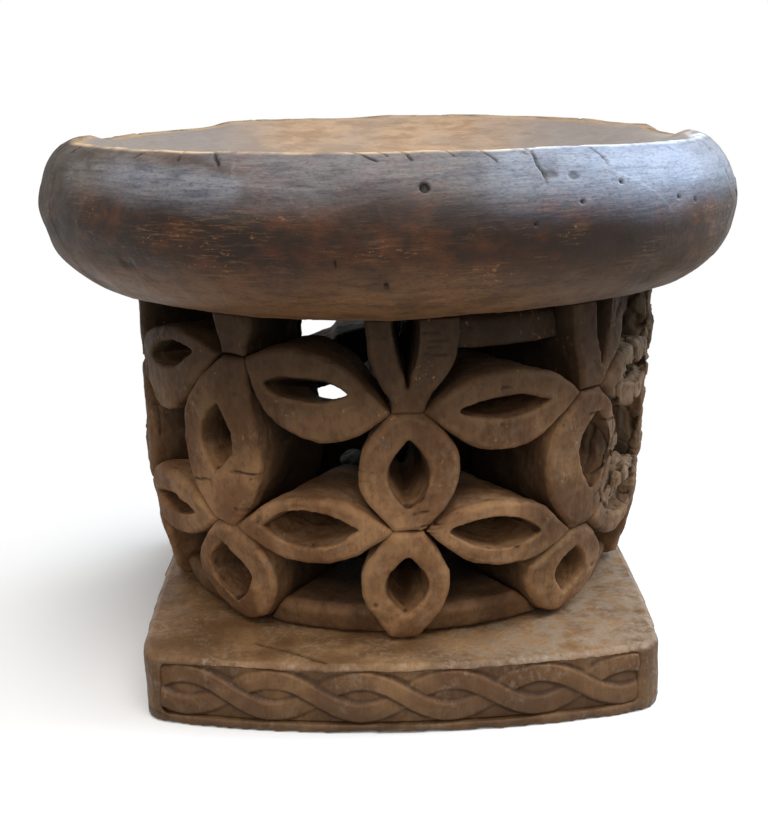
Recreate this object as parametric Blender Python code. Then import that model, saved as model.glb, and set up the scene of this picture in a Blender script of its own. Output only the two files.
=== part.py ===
"""Openwork stool carved from one log: a round dished seat, a drum of pierced leaves and a braided plinth.

The real stool is a single piece of wood. Each carved element is its own object here, divided along the
grooves that the carver cut between them. Metres, +Z up, origin on the floor under the seat's centre, and
the front of the stool faces -Y.
"""

import math

import bmesh
import bpy

# Clearances between neighbouring elements
SEAT_GAP = 0.0003
LEAF_GAP = 0.0005
NOTCH_GAP = 0.0012

# Stack of heights, from the floor up
PLINTH_HEIGHT = 0.045
FOOT_LEAF_LENGTH = 0.069
MIDDLE_LEAF_LENGTH = 0.078
HEAD_LEAF_LENGTH = 0.056
SEAT_THICKNESS = 0.097

# Seat, a turned dish with a bulging rim that hangs lower on the right
SEAT_RADIUS = 0.230
SEAT_UNDERSIDE_RADIUS = 0.172
RIM_CREST_RADIUS = 0.203
RIM_UPPER_BULGE = 0.042
RIM_SAG = 0.0065
DISH_DEPTH = 0.048
SEAT_FACETS = 52

# Drum, an openwork wall of leaves in columns and rows
DRUM_TOP_RADIUS = 0.174
DRUM_FOOT_RADIUS = 0.155
DRUM_LEAN = 0.0035
COLUMN_COUNT = 9
COLUMN_TURN = math.radians(2.5)
LEAF_DEPTH = 0.078
LEAF_EDGE_ROUND = 0.0025
LEAF_BACK_DRAFT = 0.0025
LEAF_BELLY_POWER = 2.8
LEAF_TIP_WALL = 0.0135
LEAF_SPANS = 7
HOLE_TAPER = 0.8
HOLE_TIP_WIDTH = 0.003
HOLE_BELLY_POWER = 2.2
NODE_FLAT = 0.018
LINK_GROOVE_SHARE = 0.44

# Leaf outlines and the holes through them
HEAD_LEAF_WIDTH = 0.053
HEAD_HOLE_WIDTH = 0.015
MIDDLE_LEAF_WIDTH = 0.060
MIDDLE_HOLE_WIDTH = 0.026
MIDDLE_HOLE_LENGTH = 0.044
FOOT_LEAF_WIDTH = 0.058
FOOT_HOLE_WIDTH = 0.028
FOOT_HOLE_LENGTH = 0.041
UPPER_LINK_WIDTH = 0.042
UPPER_HOLE_WIDTH = 0.0150
LOWER_LINK_WIDTH = 0.0430
LOWER_HOLE_WIDTH = 0.0235
LINK_HOLE_LENGTH = 0.062

# Where the carver's hand strayed from the even grid: (column, row) to (turn in degrees, rise). The back is
# known only from the light that shows through it
NODE_DRIFT = {
    (0, "lower"): (0.0, 0.0045),
    (0, "foot"): (-1.3, 0.0),
    (1, "upper"): (1.6, 0.001),
    (1, "lower"): (1.6, -0.0105),
    (1, "foot"): (-1.5, 0.0),
    (2, "upper"): (3.5, 0.0),
    (2, "lower"): (3.5, 0.0),
    (2, "foot"): (3.5, 0.0),
    (3, "upper"): (9.5, -0.008),
    (3, "lower"): (9.5, -0.014),
    (3, "foot"): (9.5, 0.0),
    (4, "upper"): (15.5, -0.012),
    (4, "lower"): (15.5, -0.025),
    (4, "foot"): (15.5, 0.0),
    (5, "upper"): (20.5, -0.047),
    (5, "lower"): (19.5, -0.022),
    (5, "foot"): (18.0, 0.0),
    (6, "upper"): (10.0, -0.014),
    (6, "lower"): (9.5, -0.010),
    (6, "foot"): (9.0, 0.0),
    (7, "upper"): (-3.5, 0.006),
    (7, "lower"): (-3.5, 0.0),
    (7, "foot"): (-3.5, 0.0),
    (8, "upper"): (3.8, 0.0305),
    (8, "lower"): (-1.6, 0.0),
    (8, "foot"): (-0.5, 0.0),
}

# Grooves that lean further towards the upright leaf: (column, row, side, rising) to the lean's share
GROOVE_DRIFT = {
    (8, "upper", 1, False): 0.82,
    (0, "upper", -1, False): 0.62,
}

# Leaves that the carver shaped apart from the rest of their kind. Sag moves a leaf's belly, or its hole, to
# the right of its axis, shift moves the hole along it, lean turns the hole's far end to the left, drop lowers
# the hole's back and power blunts its ends
LEAF_DRIFT = {
    "head_leaf_1": {"sag": 0.0035},
    "head_leaf_2": {"width": 0.050, "sag": 0.0090, "hole_sag": 0.0090},
    "head_leaf_6": {"depth": 0.058},
    "head_leaf_9": {"width": 0.027, "depth": 0.058},
    "upper_link_leaf_5": {
        "width": 0.032,
        "sag": 0.004,
        "hole_width": 0.012,
        "hole_sag": 0.004,
        "depth": 0.045,
    },
    "upper_link_leaf_8": {
        "width": 0.054,
        "sag": 0.006,
        "hole_width": 0.018,
        "hole_sag": -0.0035,
        "hole_shift": 0.008,
    },
    "upper_link_leaf_9": {
        "width": 0.0525,
        "sag": 0.0068,
        "hole_sag": 0.0030,
        "hole_length": 0.052,
        "hole_shift": -0.0053,
        "hole_lean": 0.0129,
        "hole_drop": 0.012,
        "hole_power": 3.4,
        "depth": 0.045,
    },
    "upper_link_leaf_1": {"width": 0.0485, "sag": 0.0033, "hole_sag": 0.0005, "hole_shift": -0.002},
    "middle_leaf_1": {"width": 0.0585, "sag": -0.001},
    "middle_leaf_2": {
        "width": 0.0712,
        "sag": -0.0014,
        "hole_width": 0.031,
        "hole_sag": -0.0069,
        "hole_length": 0.050,
        "hole_shift": -0.004,
    },
    "middle_leaf_6": {"width": 0.050},
    "middle_leaf_7": {"width": 0.054},
    "middle_leaf_9": {
        "width": 0.0665,
        "sag": 0.0067,
        "hole_width": 0.0284,
        "hole_sag": 0.0083,
        "hole_length": 0.046,
    },
    "lower_link_leaf_8": {"hole_width": 0.014},
    "lower_link_leaf_9": {"sag": -0.0012, "hole_width": 0.0255, "hole_sag": -0.0025, "hole_length": 0.064},
    "lower_link_leaf_1": {
        "hole_width": 0.0215,
        "hole_sag": -0.001,
        "hole_length": 0.065,
        "hole_shift": -0.006,
    },
    "foot_leaf_1": {"width": 0.0545},
    "foot_leaf_2": {"width": 0.072, "sag": 0.001, "hole_width": 0.031},
    "foot_leaf_9": {"width": 0.070, "sag": 0.004, "hole_width": 0.038, "hole_sag": 0.0055},
}

# Collar under the seat and sill on the plinth, set back behind the leaves
COLLAR_HEIGHT = 0.022
COLLAR_RECESS = 0.013
SILL_HEIGHT = 0.018
SILL_RECESS = 0.009
RING_BACK = 0.014
RING_FACETS = 45
BREAK_FIRST_COLUMN = 7
BREAK_LAST_COLUMN = 9

# Plinth, a block with bowed faces and a sunk panel on each
PLINTH_HALF_WIDTH = 0.157
PLINTH_RIGHT_EXTRA = 0.001
PLINTH_RIGHT_TURN = math.radians(0.7)
PLINTH_HALF_DEPTH = 0.168
SIDE_BOW = 0.007
FRONT_BOW = 0.025
PLINTH_CORNER_ROUND = 0.012
PLINTH_EDGE_ROUND = 0.004
PLINTH_FACE_SPANS = 12
PANEL_SIDE_BORDER = 0.006
PANEL_TOP_BORDER = 0.006
PANEL_FOOT_BORDER = 0.007
PANEL_SINK = 0.007

# Braid of two strands in each panel
BRAID_STRAND_WIDTH = 0.0142
BRAID_STRAND_LOW = 0.0028
BRAID_STRAND_HIGH = 0.0066
BRAID_CROSSINGS = 5.4
BRAID_SHIFT = 0.004
BRAID_SPANS = 24

# Wood: name to (colour, roughness), from the dark handled seat to the dry carving below
WOODS = {
    "seat_wood": ((0.048, 0.029, 0.020, 1.0), 0.40),
    "leaf_wood": ((0.105, 0.058, 0.032, 1.0), 0.66),
    "ring_wood": ((0.062, 0.034, 0.019, 1.0), 0.72),
    "plinth_wood": ((0.115, 0.066, 0.036, 1.0), 0.60),
    "braid_wood": ((0.108, 0.060, 0.033, 1.0), 0.58),
}

# Sizes that follow from the ones above
LOWER_ROW = PLINTH_HEIGHT + FOOT_LEAF_LENGTH
UPPER_ROW = LOWER_ROW + MIDDLE_LEAF_LENGTH
SEAT_UNDERSIDE = UPPER_ROW + HEAD_LEAF_LENGTH
SEAT_TOP = SEAT_UNDERSIDE + SEAT_THICKNESS
ROW_HEIGHTS = {"foot": PLINTH_HEIGHT + SEAT_GAP, "lower": LOWER_ROW, "upper": UPPER_ROW}
REFERENCE_RADIUS = (DRUM_TOP_RADIUS + DRUM_FOOT_RADIUS) / 2
COLUMN_PITCH = 2 * math.pi / COLUMN_COUNT


def clear_scene():
    for obj in list(bpy.data.objects):
        bpy.data.objects.remove(obj)


def wood_material(name):
    colour, roughness = WOODS[name]
    material = bpy.data.materials.new(name)
    material.use_nodes = True
    shader = material.node_tree.nodes["Principled BSDF"]
    shader.inputs["Base Color"].default_value = colour
    shader.inputs["Roughness"].default_value = roughness
    shader.inputs["Metallic"].default_value = 0.0
    return material


def add_object(name, bm, material):
    """Makes an object of the mesh, smooth across gentle edges."""
    bmesh.ops.recalc_face_normals(bm, faces=bm.faces)
    mesh = bpy.data.meshes.new(name)
    bm.to_mesh(mesh)
    bm.free()
    mesh.materials.append(material)
    mesh.shade_smooth()
    mesh.set_sharp_from_angle(angle=math.radians(40))
    obj = bpy.data.objects.new(name, mesh)
    bpy.context.scene.collection.objects.link(obj)
    return obj


def add_cutter(name, bm, target, operation="DIFFERENCE"):
    """Makes a hidden helper of the mesh and a Boolean on the target that uses it."""
    cutter = add_object(name, bm, target.data.materials[0])
    cutter.hide_render = True
    cutter.display_type = "WIRE"
    boolean = target.modifiers.new(name, "BOOLEAN")
    boolean.operation = operation
    boolean.solver = "EXACT"
    boolean.object = cutter
    return cutter


def ellipse_arc(centre, radii, start, end, spans):
    """Points along a stretch of an ellipse, angles in degrees from its +X."""
    angles = [math.radians(start + (end - start) * i / spans) for i in range(spans + 1)]
    return [(centre[0] + radii[0] * math.cos(a), centre[1] + radii[1] * math.sin(a)) for a in angles]


def add_sections(bm, sections, closed):
    """Joins cross-sections of equal counts into a solid: a closed ring, or a bar with capped ends."""
    rows = [[bm.verts.new(point) for point in section] for section in sections]
    count = len(rows[0])
    for i in range(len(rows) if closed else len(rows) - 1):
        here = rows[i]
        there = rows[(i + 1) % len(rows)]
        for j in range(count):
            k = (j + 1) % count
            bm.faces.new((here[j], here[k], there[k], there[j]))
    if not closed:
        bm.faces.new(rows[0])
        bm.faces.new(rows[-1])


def spin_profile(profile, facets):
    """Turns a profile of (radius, height) points once round the vertical axis."""
    bm = bmesh.new()
    verts = [bm.verts.new((radius, 0, height)) for radius, height in profile]
    edges = [bm.edges.new(pair) for pair in zip(verts, verts[1:])]
    bmesh.ops.spin(
        bm,
        geom=verts + edges,
        cent=(0, 0, 0),
        axis=(0, 0, 1),
        angle=2 * math.pi,
        steps=facets,
        use_merge=True,
    )
    bmesh.ops.remove_doubles(bm, verts=bm.verts, dist=1e-6)
    return bm


# Seat
def seat_profile():
    """Dish centre, out over the rim's crest, round the bulge and back under to the axis."""
    sphere = (RIM_CREST_RADIUS**2 + DISH_DEPTH**2) / (2 * DISH_DEPTH)
    dish_spans = 7
    dish = []
    for i in range(dish_spans):
        radius = RIM_CREST_RADIUS * i / dish_spans
        dish.append((radius, SEAT_TOP - DISH_DEPTH + sphere - math.sqrt(sphere**2 - radius**2)))
    widest = SEAT_TOP - RIM_UPPER_BULGE
    upper = ellipse_arc(
        (RIM_CREST_RADIUS, widest), (SEAT_RADIUS - RIM_CREST_RADIUS, RIM_UPPER_BULGE), 90, 0, 6
    )
    lower = ellipse_arc(
        (SEAT_UNDERSIDE_RADIUS, widest),
        (SEAT_RADIUS - SEAT_UNDERSIDE_RADIUS, widest - SEAT_UNDERSIDE),
        0,
        -90,
        7,
    )
    return dish + upper + lower[1:] + [(0, SEAT_UNDERSIDE)]


def rim_sag(x, y, z):
    """How much lower the seat is at a point on its right. The face that meets the drum stays level."""
    overhang = (math.hypot(x, y) - SEAT_UNDERSIDE_RADIUS) / (SEAT_RADIUS - SEAT_UNDERSIDE_RADIUS)
    share = 1.0 if z > SEAT_TOP - RIM_UPPER_BULGE else math.sqrt(max(0.0, overhang))
    return RIM_SAG * share * max(0.0, x / SEAT_RADIUS) ** 2


def make_seat(material):
    bm = spin_profile(seat_profile(), SEAT_FACETS)
    for vert in bm.verts:
        vert.co.z -= rim_sag(*vert.co)
    return add_object("seat", bm, material)


# Drum surface: s runs along the wall at the reference radius, z is height
def drum_radius(z):
    """The wall's outer radius, nearly upright above and drawn in towards the foot."""
    drop = (SEAT_UNDERSIDE - z) / (SEAT_UNDERSIDE - PLINTH_HEIGHT)
    return DRUM_TOP_RADIUS - (DRUM_TOP_RADIUS - DRUM_FOOT_RADIUS) * drop**3


def drum_lean(turn, z):
    """How far the wall's right side stands out, and its left side in, towards the top."""
    rise = (z - PLINTH_HEIGHT) / (SEAT_UNDERSIDE - PLINTH_HEIGHT)
    return DRUM_LEAN * rise * math.sin(turn) ** 3


def on_drum(point, depth):
    """The place of a wall point (s, z) at a depth behind the wall's outer face."""
    s, z = point
    turn = s / REFERENCE_RADIUS
    radius = drum_radius(z) + drum_lean(turn, z) - depth
    return (radius * math.sin(turn), -radius * math.cos(turn), z)


def node_point(column, row):
    """Where four leaf tips meet, as (s, z). The column runs on past a full turn."""
    turn, rise = NODE_DRIFT.get((column % COLUMN_COUNT, row), (0.0, 0.0))
    angle = COLUMN_TURN + column * COLUMN_PITCH + math.radians(turn)
    return (REFERENCE_RADIUS * angle, ROW_HEIGHTS[row] + rise)


def flat_end(column, row, side):
    """Left (-1) or right (1) end of the short flat at a node, where two grooves and a link leaf meet."""
    s, z = node_point(column, row)
    return (s + side * NODE_FLAT / 2, z)


def upright_end(column, row, rising):
    """The far end of the upright leaf that rises or falls from a node."""
    if not rising:
        return node_point(column, "lower" if row == "upper" else "foot")
    if row == "lower":
        return node_point(column, "upper")
    return (node_point(column, row)[0], SEAT_UNDERSIDE - SEAT_GAP)


def direction(start, end):
    return math.atan2(end[1] - start[1], end[0] - start[0])


def groove(column, row, side, rising):
    """The line between a link leaf and an upright leaf at a node: where it starts and its unit direction."""
    start = flat_end(column, row, side)
    along_link = direction(start, flat_end(column + side, row, -side))
    along_upright = direction(node_point(column, row), upright_end(column, row, rising))
    turn = (along_upright - along_link + math.pi) % (2 * math.pi) - math.pi
    share = GROOVE_DRIFT.get((column % COLUMN_COUNT, row, side, rising), LINK_GROOVE_SHARE)
    angle = along_link + share * turn
    return start, (math.cos(angle), math.sin(angle))


def cross(a, b):
    return a[0] * b[1] - a[1] * b[0]


class Leaf:
    """One leaf of the drum. A link leaf runs to the right, a head leaf up and the others down."""

    def __init__(self, kind, column, row, heading, sizes):
        self.kind = kind
        self.name = f"{kind}_{column + 1}"
        width, hole_width, hole_length = sizes
        drift = LEAF_DRIFT.get(self.name, {})
        self.width = drift.get("width", width)
        self.sag = drift.get("sag", 0.0)
        self.hole_width = drift.get("hole_width", hole_width)
        self.hole_sag = drift.get("hole_sag", 0.0)
        self.hole_lean = drift.get("hole_lean", 0.0)
        self.hole_drop = drift.get("hole_drop", 0.0)
        self.hole_power = drift.get("hole_power", HOLE_BELLY_POWER)
        self.depth = drift.get("depth", LEAF_DEPTH)
        hole_length = drift.get("hole_length", hole_length)
        self.link = heading == "right"
        self.half_leaf = heading == "up"
        self.open_end = row == "lower" and heading == "down"
        if self.link:
            self.start = flat_end(column, row, 1)
            self.end = flat_end(column + 1, row, -1)
            ends = ((column, row, 1), (column + 1, row, -1))
            left = [groove(*end, True) for end in ends]
            right = [groove(*end, False) for end in ends]
        else:
            rising = self.half_leaf
            self.start = node_point(column, row)
            self.end = upright_end(column, row, rising)
            left_side = -1 if rising else 1
            left = [groove(column, row, left_side, rising)]
            right = [groove(column, row, -left_side, rising)]
            if row == "upper" and not rising:
                left.append(groove(column, "lower", left_side, True))
                right.append(groove(column, "lower", -left_side, True))
        self.grooves = (left, right)
        run = (self.end[0] - self.start[0], self.end[1] - self.start[1])
        self.length = math.hypot(*run)
        self.along = (run[0] / self.length, run[1] / self.length)
        if self.half_leaf:
            self.hole_first = LEAF_TIP_WALL
            self.hole_last = self.length
        else:
            middle = self.length / 2 + drift.get("hole_shift", 0.0)
            self.hole_first = max(LEAF_TIP_WALL, middle - hole_length / 2)
            self.hole_last = min(self.length - LEAF_TIP_WALL, middle + hole_length / 2)
        self.pierced = self.hole_last - self.hole_first > LEAF_TIP_WALL

    def place(self, distance, offset):
        """(s, z) of a point this far along the axis and this far to its left."""
        return (
            self.start[0] + distance * self.along[0] - offset * self.along[1],
            self.start[1] + distance * self.along[1] + offset * self.along[0],
        )

    def belly(self, distance, first, last, power):
        """A lens's fullness: nothing at its tips, one in the middle, or at the end of a half leaf."""
        span = last - first if self.half_leaf else (last - first) / 2
        share = min(1.0, abs(distance - first - span) / span)
        return 1 - share**power

    def groove_limit(self, distance, side, line):
        """How wide the leaf may be on the left (0) or right (1), beside a groove, this far along."""
        start, unit = line
        sign = -1 if side else 1
        middle = self.place(self.length / 2, 0.0)
        here = self.place(distance, 0.0)
        own = 1 if cross(unit, (middle[0] - start[0], middle[1] - start[1])) > 0 else -1
        room = own * cross(unit, (here[0] - start[0], here[1] - start[1])) - LEAF_GAP / 2
        closing = -own * sign * cross(unit, (-self.along[1], self.along[0]))
        return room / closing if closing > 0 else self.width

    def half_width(self, distance, side):
        """The outline's half width on the left (0) or right (1), inside the grooves at its nodes."""
        full = self.width / 2 + (self.sag if side else -self.sag)
        width = full * self.belly(distance, 0.0, self.length, LEAF_BELLY_POWER)
        if not self.link:
            width = max(width, NODE_FLAT / 2)
        limits = [self.groove_limit(distance, side, line) for line in self.grooves[side]]
        return min(limits + [width])

    def hole_offset(self, distance, sign):
        """How far left of the axis the hole's left (1) or right (-1) edge is, this far along."""
        bow = self.belly(distance, self.hole_first, self.hole_last, self.hole_power)
        width = self.hole_width / 2 * bow
        if not self.link:
            width = max(width, HOLE_TIP_WIDTH / 2)
        share = (distance - self.hole_first) / (self.hole_last - self.hole_first)
        return sign * width - self.hole_sag + self.hole_lean * (share - 0.5)

    def outlines(self):
        """The leaf's outline and its hole's outline, point for point, starting at the far end."""
        first = LEAF_GAP if self.link else LEAF_GAP / 2
        last = self.length if self.half_leaf or self.open_end else self.length - first
        low = min(self.start[1], self.end[1]) + (0.0 if self.open_end else LEAF_GAP / 2)
        high = max(self.start[1], self.end[1]) - (0.0 if self.half_leaf else LEAF_GAP / 2)
        steps = [i / LEAF_SPANS for i in range(LEAF_SPANS + 1)]
        outline = []
        hole_outline = []
        for side, sign, shares in ((0, 1, steps[::-1]), (1, -1, steps)):
            for share in shares:
                at_tip = self.link and share in (0, 1)
                if at_tip and side == 1:
                    continue
                distance = first + (last - first) * share
                width = 0.0 if at_tip else self.half_width(distance, side)
                hole = self.hole_first + (self.hole_last - self.hole_first) * share
                s, z = self.place(distance, sign * width)
                outline.append((s, z if self.link else min(max(z, low), high)))
                hole_outline.append(self.place(hole, self.hole_offset(hole, sign)))
        return outline, hole_outline

    def back_outline(self, outline):
        """The outline at the leaf's back, drawn in so that the grooves open towards the drum's hollow."""
        back = grown(outline, -LEAF_BACK_DRAFT)
        if self.half_leaf:
            back[0] = (back[0][0], outline[0][1])
            back[-1] = (back[-1][0], outline[-1][1])
        return back

    def section(self, outline, hole, back):
        """The wall's cross-section at one station, from its back edge over the face to the hole's back."""
        gap = math.dist(outline, hole)
        step = min(LEAF_EDGE_ROUND, gap / 3) / gap
        inset = tuple(a + (b - a) * step for a, b in zip(outline, hole))
        middle = self.place(self.length if self.half_leaf else self.length / 2, 0.0)
        s, z = (m + (h - m) * HOLE_TAPER for m, h in zip(middle, hole))
        hole_back = (s, z - self.hole_drop)
        return [
            on_drum(back, self.depth),
            on_drum(outline, LEAF_EDGE_ROUND),
            on_drum(inset, 0.0),
            on_drum(hole, 0.0),
            on_drum(hole_back, self.depth),
        ]

    def add_slab(self, bm, outlines, depths):
        """A solid with one outline per depth, closed by fans at the front and back."""
        rows = [[bm.verts.new(on_drum(p, depth)) for p in line] for line, depth in zip(outlines, depths)]
        for here, there in zip(rows, rows[1:]):
            for j, vert in enumerate(here):
                k = (j + 1) % len(here)
                bm.faces.new((vert, here[k], there[k], there[j]))
        for row, outline, depth in ((rows[0], outlines[0], depths[0]), (rows[-1], outlines[-1], depths[-1])):
            centre = tuple(sum(axis) / len(outline) for axis in zip(*outline))
            hub = bm.verts.new(on_drum(centre, depth))
            for j, vert in enumerate(row):
                bm.faces.new((vert, row[(j + 1) % len(row)], hub))

    def solid(self):
        bm = bmesh.new()
        outline, hole_outline = self.outlines()
        back = self.back_outline(outline)
        if self.pierced:
            stations = zip(outline, hole_outline, back)
            add_sections(bm, [self.section(*station) for station in stations], closed=not self.half_leaf)
            return bm
        face = grown(outline, -LEAF_EDGE_ROUND)
        if self.half_leaf:
            face[0] = (face[0][0], outline[0][1])
            face[-1] = (face[-1][0], outline[-1][1])
            for line in (face, outline, back):
                line.extend(points_between(line[-1], line[0], LEAF_SPANS))
        self.add_slab(bm, [face, outline, back], [0.0, LEAF_EDGE_ROUND, self.depth])
        return bm

    def notch(self, bm):
        """Adds the leaf's room, a little larger than its outline, to a cutter for the rings behind it."""
        proud = 0.02
        outline = grown(self.outlines()[0], NOTCH_GAP)
        if self.half_leaf:
            left, right = outline[0], outline[-1]
            outline += [(right[0], right[1] + proud), (left[0], left[1] + proud)]
        self.add_slab(bm, [outline] * 3, [-proud, LEAF_DEPTH / 2, LEAF_DEPTH + NOTCH_GAP])


def points_between(start, end, spans):
    """The points that divide a straight edge into equal spans, without its ends."""
    shares = [i / spans for i in range(1, spans)]
    return [tuple(a + (b - a) * share for a, b in zip(start, end)) for share in shares]


def grown(outline, margin):
    """A convex outline moved outwards all round by a margin."""
    centre = tuple(sum(axis) / len(outline) for axis in zip(*outline))
    moved = []
    for i, point in enumerate(outline):
        normals = []
        for a, b in ((outline[i - 1], point), (point, outline[(i + 1) % len(outline)])):
            length = math.dist(a, b)
            normal = ((b[1] - a[1]) / length, (a[0] - b[0]) / length)
            outward = normal[0] * (a[0] - centre[0]) + normal[1] * (a[1] - centre[1])
            normals.append(normal if outward > 0 else (-normal[0], -normal[1]))
        (ax, ay), (bx, by) = normals
        reach = margin / (1 + ax * bx + ay * by)
        moved.append((point[0] + (ax + bx) * reach, point[1] + (ay + by) * reach))
    return moved


def make_leaves():
    """All the leaves, row by row: heads under the seat, feet on the plinth and links between columns."""
    kinds = (
        ("head_leaf", "upper", "up", (HEAD_LEAF_WIDTH, HEAD_HOLE_WIDTH, 0.0)),
        ("upper_link_leaf", "upper", "right", (UPPER_LINK_WIDTH, UPPER_HOLE_WIDTH, LINK_HOLE_LENGTH)),
        ("middle_leaf", "upper", "down", (MIDDLE_LEAF_WIDTH, MIDDLE_HOLE_WIDTH, MIDDLE_HOLE_LENGTH)),
        ("lower_link_leaf", "lower", "right", (LOWER_LINK_WIDTH, LOWER_HOLE_WIDTH, LINK_HOLE_LENGTH)),
        ("foot_leaf", "lower", "down", (FOOT_LEAF_WIDTH, FOOT_HOLE_WIDTH, FOOT_HOLE_LENGTH)),
    )
    leaves = []
    for kind, row, heading, sizes in kinds:
        for column in range(COLUMN_COUNT):
            leaves.append(Leaf(kind, column, row, heading, sizes))
    return leaves


# Rings behind the leaves
def ring_profile(low, high, recess):
    """A ring's rectangle, its outer face following the drum at a set-back and its top edge eased."""
    ease = (high - low) / 4
    inner = drum_radius(low) - LEAF_DEPTH - RING_BACK
    return [
        (inner, high),
        (drum_radius(high) - recess - ease, high),
        (drum_radius(high - ease) - recess, high - ease),
        (drum_radius(low) - recess, low),
        (inner, low),
        (inner, high),
    ]


def make_ring(name, low, high, recess, leaves, material):
    """A collar or sill with a notch for every leaf that reaches its height."""
    ring = add_object(name, spin_profile(ring_profile(low, high, recess), RING_FACETS), material)
    for kind in sorted({leaf.kind for leaf in leaves}):
        bm = bmesh.new()
        for leaf in leaves:
            heights = [point[1] for point in leaf.outlines()[0]]
            if leaf.kind == kind and max(heights) > low - NOTCH_GAP and min(heights) < high + NOTCH_GAP:
                leaf.notch(bm)
        if bm.faces:
            add_cutter(f"{name}_{kind}_notches", bm, ring)
        else:
            bm.free()
    return ring


def break_out(ring, first_column, last_column, low, high):
    """Takes away the ring's stretch between two columns, where the wood has broken out."""
    bm = bmesh.new()
    margin = 0.01
    spans = 12
    first = node_point(first_column, "upper")[0]
    last = node_point(last_column, "upper")[0]
    inner = (DRUM_FOOT_RADIUS - LEAF_DEPTH) / 2
    corners = [(radius, low - margin) for radius in (SEAT_RADIUS, inner)]
    corners += [(radius, high + margin) for radius in (inner, SEAT_RADIUS)]
    sections = []
    for i in range(spans + 1):
        turn = (first + (last - first) * i / spans) / REFERENCE_RADIUS
        sections.append([(r * math.sin(turn), -r * math.cos(turn), z) for r, z in corners])
    add_sections(bm, sections, closed=False)
    add_cutter(f"{ring.name}_break", bm, ring)


# Plinth
PLINTH_SIDES = {
    "front": (0.0, PLINTH_HALF_WIDTH, PLINTH_HALF_DEPTH, FRONT_BOW),
    "right": (
        math.pi / 2 + PLINTH_RIGHT_TURN,
        PLINTH_HALF_DEPTH,
        PLINTH_HALF_WIDTH + PLINTH_RIGHT_EXTRA,
        SIDE_BOW,
    ),
    "back": (math.pi, PLINTH_HALF_WIDTH, PLINTH_HALF_DEPTH, FRONT_BOW),
    "left": (-math.pi / 2, PLINTH_HALF_DEPTH, PLINTH_HALF_WIDTH, SIDE_BOW),
}


def plinth_face(side, along, z, out=0.0):
    """A point on one of the plinth's bowed faces, this far along it from its middle, and out from it."""
    turn, half_length, distance, bow = PLINTH_SIDES[side]
    radius = (half_length**2 + bow**2) / (2 * bow)
    angle = math.asin(along / radius)
    x = (radius + out) * math.sin(angle)
    y = -(distance + bow - radius + (radius + out) * math.cos(angle))
    return (x * math.cos(turn) - y * math.sin(turn), x * math.sin(turn) + y * math.cos(turn), z)


def panel_half_length(side):
    return PLINTH_SIDES[side][1] - PANEL_SIDE_BORDER - PLINTH_CORNER_ROUND / 2


def add_panel_room(bm, side):
    """The sunk panel's room, swept along the bowed face."""
    half = panel_half_length(side)
    proud = 0.01
    low = PANEL_FOOT_BORDER
    high = PLINTH_HEIGHT - PANEL_TOP_BORDER
    sections = []
    for i in range(PLINTH_FACE_SPANS + 1):
        along = half * (2 * i / PLINTH_FACE_SPANS - 1)
        corners = ((low, -PANEL_SINK), (low, proud), (high, proud), (high, -PANEL_SINK))
        sections.append([plinth_face(side, along, z, out) for z, out in corners])
    add_sections(bm, sections, closed=False)


def make_plinth(material):
    bm = bmesh.new()
    outline = []
    for side in PLINTH_SIDES:
        half = PLINTH_SIDES[side][1]
        for i in range(PLINTH_FACE_SPANS):
            outline.append(bm.verts.new(plinth_face(side, half * (2 * i / PLINTH_FACE_SPANS - 1), 0.0)))
    foot = bm.faces.new(outline)
    raised = bmesh.ops.extrude_face_region(bm, geom=[foot])["geom"]
    top_verts = [item for item in raised if isinstance(item, bmesh.types.BMVert)]
    bmesh.ops.translate(bm, verts=top_verts, vec=(0, 0, PLINTH_HEIGHT))
    corner_verts = [vert for i, vert in enumerate(outline) if i % PLINTH_FACE_SPANS == 0]
    corners = [edge for vert in corner_verts for edge in vert.link_edges if is_upright(edge)]
    bmesh.ops.bevel(bm, geom=corners, offset=PLINTH_CORNER_ROUND, segments=3, affect="EDGES", profile=0.5)
    rim = [edge for edge in bm.edges if all(abs(v.co.z - PLINTH_HEIGHT) < 1e-6 for v in edge.verts)]
    bmesh.ops.bevel(bm, geom=rim, offset=PLINTH_EDGE_ROUND, segments=1, affect="EDGES", profile=0.5)
    plinth = add_object("plinth", bm, material)
    rooms = bmesh.new()
    for side in PLINTH_SIDES:
        add_panel_room(rooms, side)
    add_cutter("plinth_panels", rooms, plinth)
    return plinth


def is_upright(edge):
    low, high = sorted(vert.co.z for vert in edge.verts)
    return high - low > PLINTH_HEIGHT / 2


# Braids
def strand_section(side, along, sign):
    """A strand's cross-section at one place: a flat back on the panel's floor under a rounded crown."""
    turn_rate = math.pi * BRAID_CROSSINGS / (2 * panel_half_length(side))
    phase = turn_rate * (along - BRAID_SHIFT)
    panel_low = PANEL_FOOT_BORDER + SEAT_GAP
    panel_high = PLINTH_HEIGHT - PANEL_TOP_BORDER - SEAT_GAP
    middle = (panel_low + panel_high) / 2
    sway = (panel_high - panel_low - BRAID_STRAND_WIDTH) / 2
    centre = middle + sign * sway * math.sin(phase)
    lift = (1 - sign * math.cos(phase)) / 2
    crown = BRAID_STRAND_LOW + (BRAID_STRAND_HIGH - BRAID_STRAND_LOW) * lift
    floor = SEAT_GAP - PANEL_SINK
    reach = BRAID_STRAND_WIDTH / 2 * math.hypot(1.0, sway * turn_rate * math.cos(phase))
    shape = (
        (-reach, floor),
        (-reach, floor + 0.6 * crown),
        (-reach * 0.6, floor + crown),
        (reach * 0.6, floor + crown),
        (reach, floor + 0.6 * crown),
        (reach, floor),
    )
    return [plinth_face(side, along, centre + rise, out) for rise, out in shape]


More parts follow.
